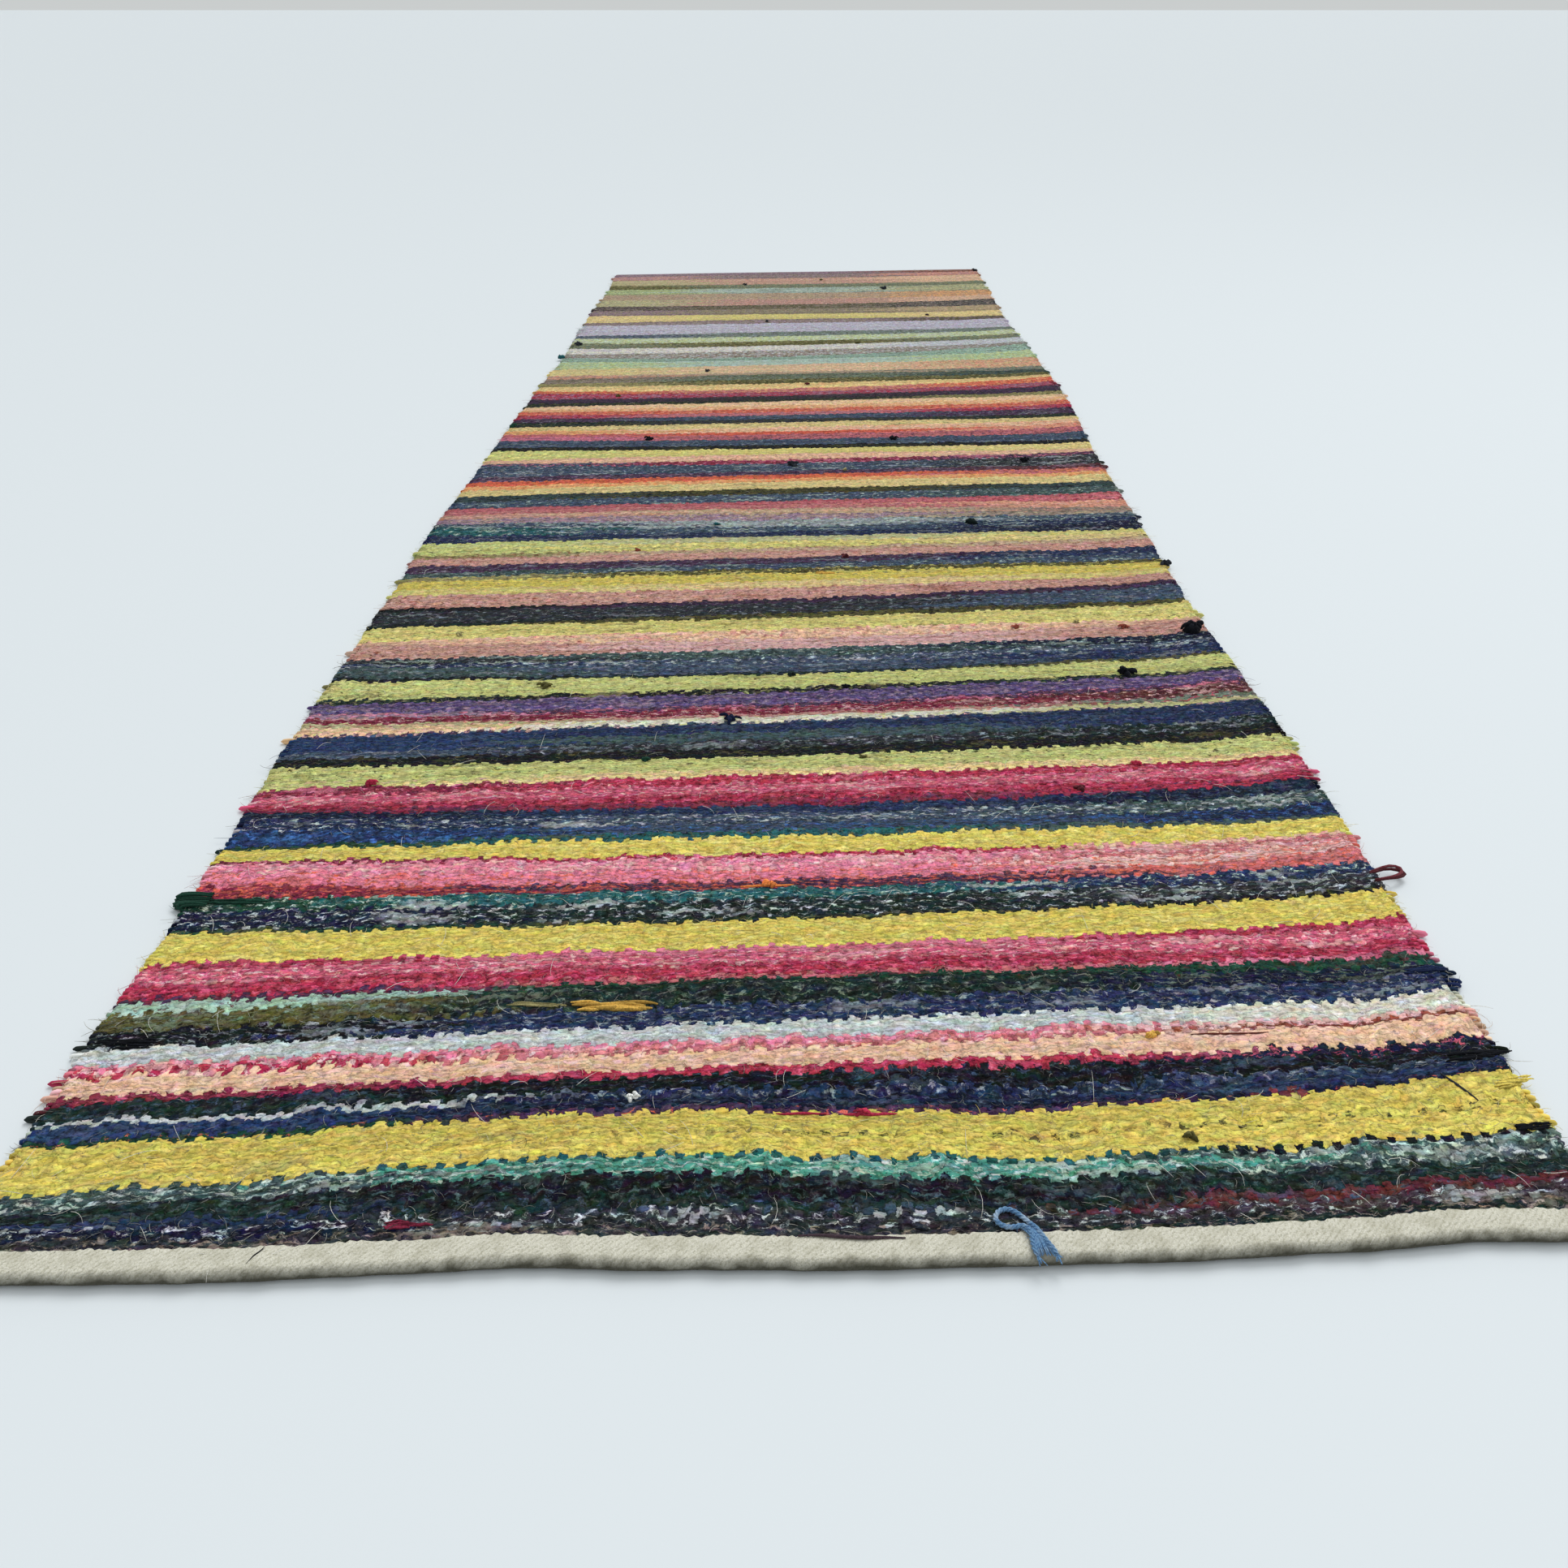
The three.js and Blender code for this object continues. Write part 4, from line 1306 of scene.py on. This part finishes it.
def tie_hair(line, rng):
    """A hair that stands out of the tie and bends down."""
    root = line[rng.integers(2, TIE_STEPS - 2)]
    heading = rng.normal(0, 1, 3) * [1, 1, 0.5]
    heading /= np.linalg.norm(heading)
    reach = rng.uniform(1.8, 4.2)
    steps = np.linspace(0, 1, 5)
    path = np.array([root + heading * reach * t + [0, 0, -0.6 * reach * t * t] for t in steps])
    path[:, 2] = np.maximum(path[:, 2], 6.0)
    return strand(path, 0.12, 4, taper=0.5)


def tie_ends(material, line):
    """The tails' fibres, splayed at their tips and fanned out between them, and the tie's hairs."""
    rng = np.random.default_rng(3)
    parts = []
    for end, before in ((line[0], line[6]), (line[-1], line[-7])):
        parts += [frayed_tip(end, before, rng) for _ in range(TIP_FIBRES)]
    parts += [tail_fibre(line, share, rng) for share in np.linspace(0.05, 0.95, TAIL_FIBRES)]
    parts += [tie_hair(line, rng) for _ in range(TIE_HAIRS)]
    points, faces, uv = joined(parts)
    piece_of("seam_tie_ends", points, faces, material, uv=uv)


def loose_wool():
    """Loose wool: single hairs and yarn ends in the tint that each is given, matt and soft."""
    made, tree, surface = new_material("loose_wool")
    tint = add(tree, "ShaderNodeAttribute", attribute_name="tint")
    place = add(tree, "ShaderNodeTexCoord").outputs["Object"]
    # Fibres about a millimetre long
    fibre = add(tree, NOISE, place, to={"Scale": 900.0, "Detail": 3.0})
    tone = add(tree, RANGE, fibre, 0.3, 0.7, 0.6, 1.35)
    shaded = add(tree, VECTOR_MATH, tint, to={"Scale": tone}, operation="SCALE")
    bump = add(tree, BUMP, to={"Strength": 0.8, "Distance": 0.4 * MM, "Height": fibre})
    soft = {"Roughness": 0.95, "Specular IOR Level": 0.05, "Sheen Weight": 0.05}
    feed(tree, surface, {"Base Color": shaded, "Normal": bump, **soft})
    return made


def fuzz(name, roots, heading, length, thickness, lift, tint, material, rng):
    """Loose hairs, each from its root in the cloth, bent along and up from it."""
    count = len(roots)
    steps = np.linspace(0, 1, len(HAIR_TAPER))
    turn = heading[:, None] + rng.normal(0, 1.1, count)[:, None] * steps
    stride = length[:, None] / (len(steps) - 1)
    x = roots[:, 0, None] + np.cumsum(np.cos(turn) * stride, axis=1) - np.cos(turn[:, :1]) * stride
    y = roots[:, 1, None] + np.cumsum(np.sin(turn) * stride, axis=1) - np.sin(turn[:, :1]) * stride
    bend = rng.uniform(1.2, 2.6, count)[:, None]
    z = roots[:, 2, None] - ROOT_DEPTH + lift[:, None] * np.sin(steps * bend)
    z = np.maximum(z, 0.3)
    points, faces = tubes(np.stack([x, y, z], 2), thickness[:, None] * HAIR_TAPER, HAIR_SIDES)
    tint = np.repeat(tint, HAIR_SIDES * len(steps), axis=0)
    piece_of(name, points, faces, material, tint=tint)


def face_fuzz(name, count, first, last, longest, material, rng):
    """The bloom of hairs over a part of the cloth's face, and its long pale strays."""
    pick = first + (last - first) * rng.uniform(0, 1, count) ** 1.25
    across = rng.uniform(0.004, 0.996, count)
    roots = on_cloth(pick, across)
    mixed = rng.uniform(0.05, 0.6, count)[:, None]
    tint = yarn_of(pick, across) * (1 - mixed) + np.array(linear(PALE_FIBRE)) * mixed
    stray = rng.uniform(0, 1, count) < STRAY_SHARE
    tint[stray] = linear(STRAY_COLOUR)
    length = np.where(stray, rng.uniform(10, 24, count), rng.uniform(2.5, longest, count))
    heading = rng.normal(0, 0.7, count) + np.where(rng.uniform(0, 1, count) < 0.5, 0, math.pi)
    heading = np.where(stray, rng.uniform(0, 2 * math.pi, count), heading)
    lift = np.where(stray, rng.uniform(1.5, 5, count), rng.uniform(0.6, 2.2, count))
    thick = np.where(stray, 0.17, rng.uniform(0.12, 0.24, count))
    fuzz(name, roots, heading, length, thick, lift, tint, material, rng)


def edge_fuzz(material, rng):
    """The hairs that stand out from both selvedges."""
    pick = rng.uniform(3, LAST_PICK - 3, EDGE_HAIRS)
    right = rng.uniform(0, 1, EDGE_HAIRS) < 0.5
    across = np.where(right, 0.999, 0.001)
    roots = on_cloth(pick, across)
    roots[:, 2] *= rng.uniform(0.2, 1, EDGE_HAIRS)
    mixed = rng.uniform(0.1, 0.95, EDGE_HAIRS)[:, None]
    tint = yarn_of(pick, across) * (1 - mixed) + np.array(linear(PALE_EDGE_FIBRE)) * mixed
    heading = rng.normal(0, 0.8, EDGE_HAIRS) + np.where(right, 0, math.pi)
    length = rng.uniform(3, 9, EDGE_HAIRS) + 9 * (rng.uniform(0, 1, EDGE_HAIRS) < 0.08)
    lift = rng.uniform(0.2, 2.0, EDGE_HAIRS)
    thick = np.full(EDGE_HAIRS, 0.2)
    fuzz("fuzz_edges", roots, heading, length, thick, lift, tint, material, rng)


def selvedge_turns(material):
    """The weft's turns round both selvedges, one for each pair of picks, some slacker than others."""
    rng = np.random.default_rng(31)
    places = SLACK_PICKS * np.arange(LAST_PICK // SLACK_PICKS + 2)
    slack = np.interp(np.arange(LAST_PICK), places, rng.uniform(-1.0, 3.0, len(places)))
    turn = np.linspace(-0.5 * math.pi, 0.5 * math.pi, len(TURN_TAPER))
    lines, radii, uv = [], [], []
    for side, away in ((0, -1), (1, 1)):
        for pick in np.arange(1.0, LAST_PICK - 1, 2.0):
            x, y = lie_of(pick, np.array([0.0, 1.0]))
            edge, along = x[side], y[side]
            top, under = cloth_heights(pick, edge, along)
            out = 0.9 + slack[int(pick)] + rng.uniform(-0.8, 1.2)
            out += rng.uniform(3, 8) if rng.uniform() < LOOPY_SHARE else 0
            out = (TURN_DEPTH + out) * np.cos(turn) - TURN_DEPTH
            along = along + rng.uniform(-0.7, 0.7) + 0.9 * np.sin(turn) * rng.uniform(-1, 1)
            rise = (top - under) / 2 - 0.7
            radius = rng.uniform(1.1, 1.75)
            high = np.maximum(under + 0.7 + rise * (1 + np.sin(turn)), radius + 0.1)
            lines.append(np.stack([edge + away * out, along, high], 1))
            radii.append(radius * TURN_TAPER)
            uv.append((0.5 + (WARPS - 1) * side, pick + 1.0))
    points, faces = tubes(lines, np.array(radii), TURN_SIDES, up=(0, 1, 0))
    uv = np.repeat(uv, len(TURN_TAPER) * TURN_SIDES, axis=0)
    piece_of("selvedge_turns", points, faces, material, uv=uv)


def knot(lay, rng, x, y, size, yarn):
    """A knot in the weft: short crossed lengths, and the cut ends that stand out of it."""
    top = face_at(x, y)
    for _ in range(KNOT_LENGTHS):
        turn = rng.uniform(0, math.pi)
        dx, dy = size * 0.34 * math.cos(turn), size * 0.24 * math.sin(turn)
        off = rng.normal(0, size * 0.12, 2)
        high = top + size * rng.uniform(0.08, 0.24)
        mx, my = x + off[0], y + off[1]
        line = [(mx - dx, my - dy, top - 0.4), (mx, my, high), (mx + dx, my + dy, top - 0.3)]
        lay(line, size * rng.uniform(0.12, 0.19), yarn, rng.uniform(0.6, 1.5))
    for _ in range(KNOT_ENDS):
        turn = rng.uniform(0, 2 * math.pi)
        reach = size * rng.uniform(0.2, 0.55)
        dx, dy = 1.3 * reach * math.cos(turn), 0.5 * reach * math.sin(turn)
        high = min(top + size * rng.uniform(0.15, 0.4), HIGHEST_END)
        fall = rng.uniform(0.2, 0.8)
        line = [
            (x, y, top + 0.3),
            (x + dx * 0.4, y + dy * 0.4, high),
            (x + dx * 0.8, y + dy * 0.8, top + (high - top) * 0.85),
            (x + dx, y + dy, top + (high - top) * fall),
        ]
        lay(line, size * rng.uniform(0.07, 0.13), yarn, rng.uniform(0.7, 2.0))


def slub(lay, rng, x0, y0, x1, y1, thick, yarn):
    """A slack thick length of yarn: a bundle of fibres, or a single one where it is thin."""
    ends = np.array([[x0, y0, face_at(x0, y0)], [x1, y1, face_at(x1, y1)]])
    bundle = thick > TIGHT_SLUB
    for _ in range(FIBRES_OF_SLUB if bundle else 1):
        middle = rng.uniform(0.2, 0.8)
        reach = rng.uniform(0.1, 0.3)
        ends_in = rng.uniform(0, 0.12, 2)
        first, last = max(middle - reach, ends_in[0]), min(middle + reach, 1 - ends_in[1])
        if not bundle:
            first, last = 0, 1
        line = ends[0] + (ends[1] - ends[0]) * np.linspace(first, last, 6)[:, None]
        line[:, 1] += rng.normal(0, thick * 0.5) + rng.normal(0, 0.4, 6)
        bow = np.sin(math.pi * np.linspace(0.08, 0.92, 6))
        line[:, 2] += 0.3 * thick * bow * rng.uniform(0.2, 1.3)
        radius = min(thick * 0.3, 1.3) if bundle else thick * 0.8
        lay(line, radius, yarn, rng.uniform(0.5, 1.35))


def slack_turns(lay, rng):
    """A loop of maroon weft at the right selvedge, and some dark green turns at the left one."""
    for k in range(LOOP_STRANDS):
        wander = rng.normal(0, 0.7, (len(RIGHT_LOOP), 3))
        line = np.array(RIGHT_LOOP) + wander + [0, k * 1.2 - 1.2, k * 0.6]
        # Each strand lies higher than the one before and is given a brighter shade: painted light on
        # the upper strands
        lay(line, 1.25, "maroon", 0.8 + 0.5 * k)
    for k in range(LEFT_TURNS):
        y = LEFT_TURNS_ALONG + LEFT_TURN_STEP * k
        swell = LEFT_TURNS_REACH * math.sin(math.pi * (k + 1.2) / (LEFT_TURNS + 2))
        out = -441 - swell * rng.uniform(0.75, 1.1)
        high = rng.uniform(4.5, 8.5)
        line = [
            (-428, y + 1, 6.2),
            (-436, y + 0.5, high + 0.6),
            (out, y, high),
            (out - 1, y - 1.2, high - 1.6),
            (out + 1, y - 2, 3.2),
            (-436, y - 2, 3.4),
            (-430, y - 2, 4.5),
        ]
        lay(line, rng.uniform(1.3, 1.8), "bottle green", rng.uniform(0.5, 1.2))


def yarn_ends(material):
    """Knots with their cut ends, slack thick lengths, and slack turns at both selvedges."""
    rng = np.random.default_rng(47)
    lines, radii, tints = [], [], []

    def lay(line, radius, yarn, shade):
        """Lays a tapered length of a yarn along a line of a few points."""
        at, given = np.linspace(0, 1, END_STEPS), np.linspace(0, 1, len(line))
        fine = np.array([np.interp(at, given, c) for c in np.array(line).T]).T
        fine[1:-1] = (fine[:-2] + 2 * fine[1:-1] + fine[2:]) / 4
        taper = np.sin(np.linspace(0.3, math.pi - 0.25, END_STEPS)) ** 0.6
        lines.append(fine)
        radii.append(radius * taper * rng.uniform(0.85, 1.15, END_STEPS))
        tints.append(np.array(linear(YARNS[yarn])) * shade)

    for row in KNOTS:
        knot(lay, rng, *row)
    for row in SLUBS:
        slub(lay, rng, *row)
    slack_turns(lay, rng)
    points, faces = tubes(lines, np.array(radii), END_SIDES)
    tint = np.repeat(tints, END_STEPS * END_SIDES, axis=0)
    piece_of("yarn_ends", points, faces, material, tint=tint)


def floor():
    """A plain pale floor out to the horizon."""
    made, tree, surface = new_material("pale_floor")
    matt = {"Roughness": 0.9, "Specular IOR Level": 0.1}
    feed(tree, surface, {"Base Color": linear(FLOOR_COLOUR), **matt})
    bm = bmesh.new()
    bmesh.ops.create_grid(bm, x_segments=1, y_segments=1, size=FLOOR_REACH)
    mesh = bpy.data.meshes.new("floor")
    bm.to_mesh(mesh)
    bm.free()
    mesh.materials.append(made)
    link(bpy.data.objects.new("floor", mesh))


def lights():
    """Soft daylight from all round and from above, and a wide lamp high up at the right."""
    world = bpy.data.worlds.new("studio")
    bpy.context.scene.world = world
    world.use_nodes = True
    sky = world.node_tree.nodes["Background"]
    sky.inputs["Color"].default_value = linear(SKY_COLOUR)
    sky.inputs["Strength"].default_value = SKY_STRENGTH
    sun = bpy.data.lights.new("daylight", "SUN")
    sun.energy = DAYLIGHT
    sun.angle = math.radians(DAYLIGHT_SPREAD)
    lamp = link(bpy.data.objects.new("daylight", sun))
    lamp.rotation_euler = (math.radians(DAYLIGHT_TILT[0]), math.radians(DAYLIGHT_TILT[1]), 0)
    side = bpy.data.lights.new("side_lamp", "AREA")
    side.energy = SIDE_LAMP_POWER
    side.size = SIDE_LAMP_SIZE
    lamp = link(bpy.data.objects.new("side_lamp", side))
    lamp.location = SIDE_LAMP_PLACE
    backward = Vector(SIDE_LAMP_PLACE) - Vector(SIDE_LAMP_AIM)
    lamp.rotation_euler = backward.to_track_quat("Z", "Y").to_euler()
    bpy.context.scene.view_settings.view_transform = "Standard"


camera()

tie_line, tie_length = along_route(TIE_ROUTE, TIE_STEPS)
blue_yarn = plied_yarn()
tie(blue_yarn, tie_line)
tie_ends(blue_yarn, tie_line)
wool = striped_wool()
field(wool)
tape(tape_cotton())
selvedge_turns(wool)
loose = loose_wool()
yarn_ends(loose)
hair_rng = np.random.default_rng(23)
face_fuzz("fuzz_near", NEAR_HAIRS, 2, FUZZ_MEETING, 9, loose, hair_rng)
face_fuzz("fuzz_far", FAR_HAIRS, FUZZ_MEETING, LAST_PICK - 2, 11, loose, hair_rng)
edge_fuzz(loose, hair_rng)
floor()
lights()
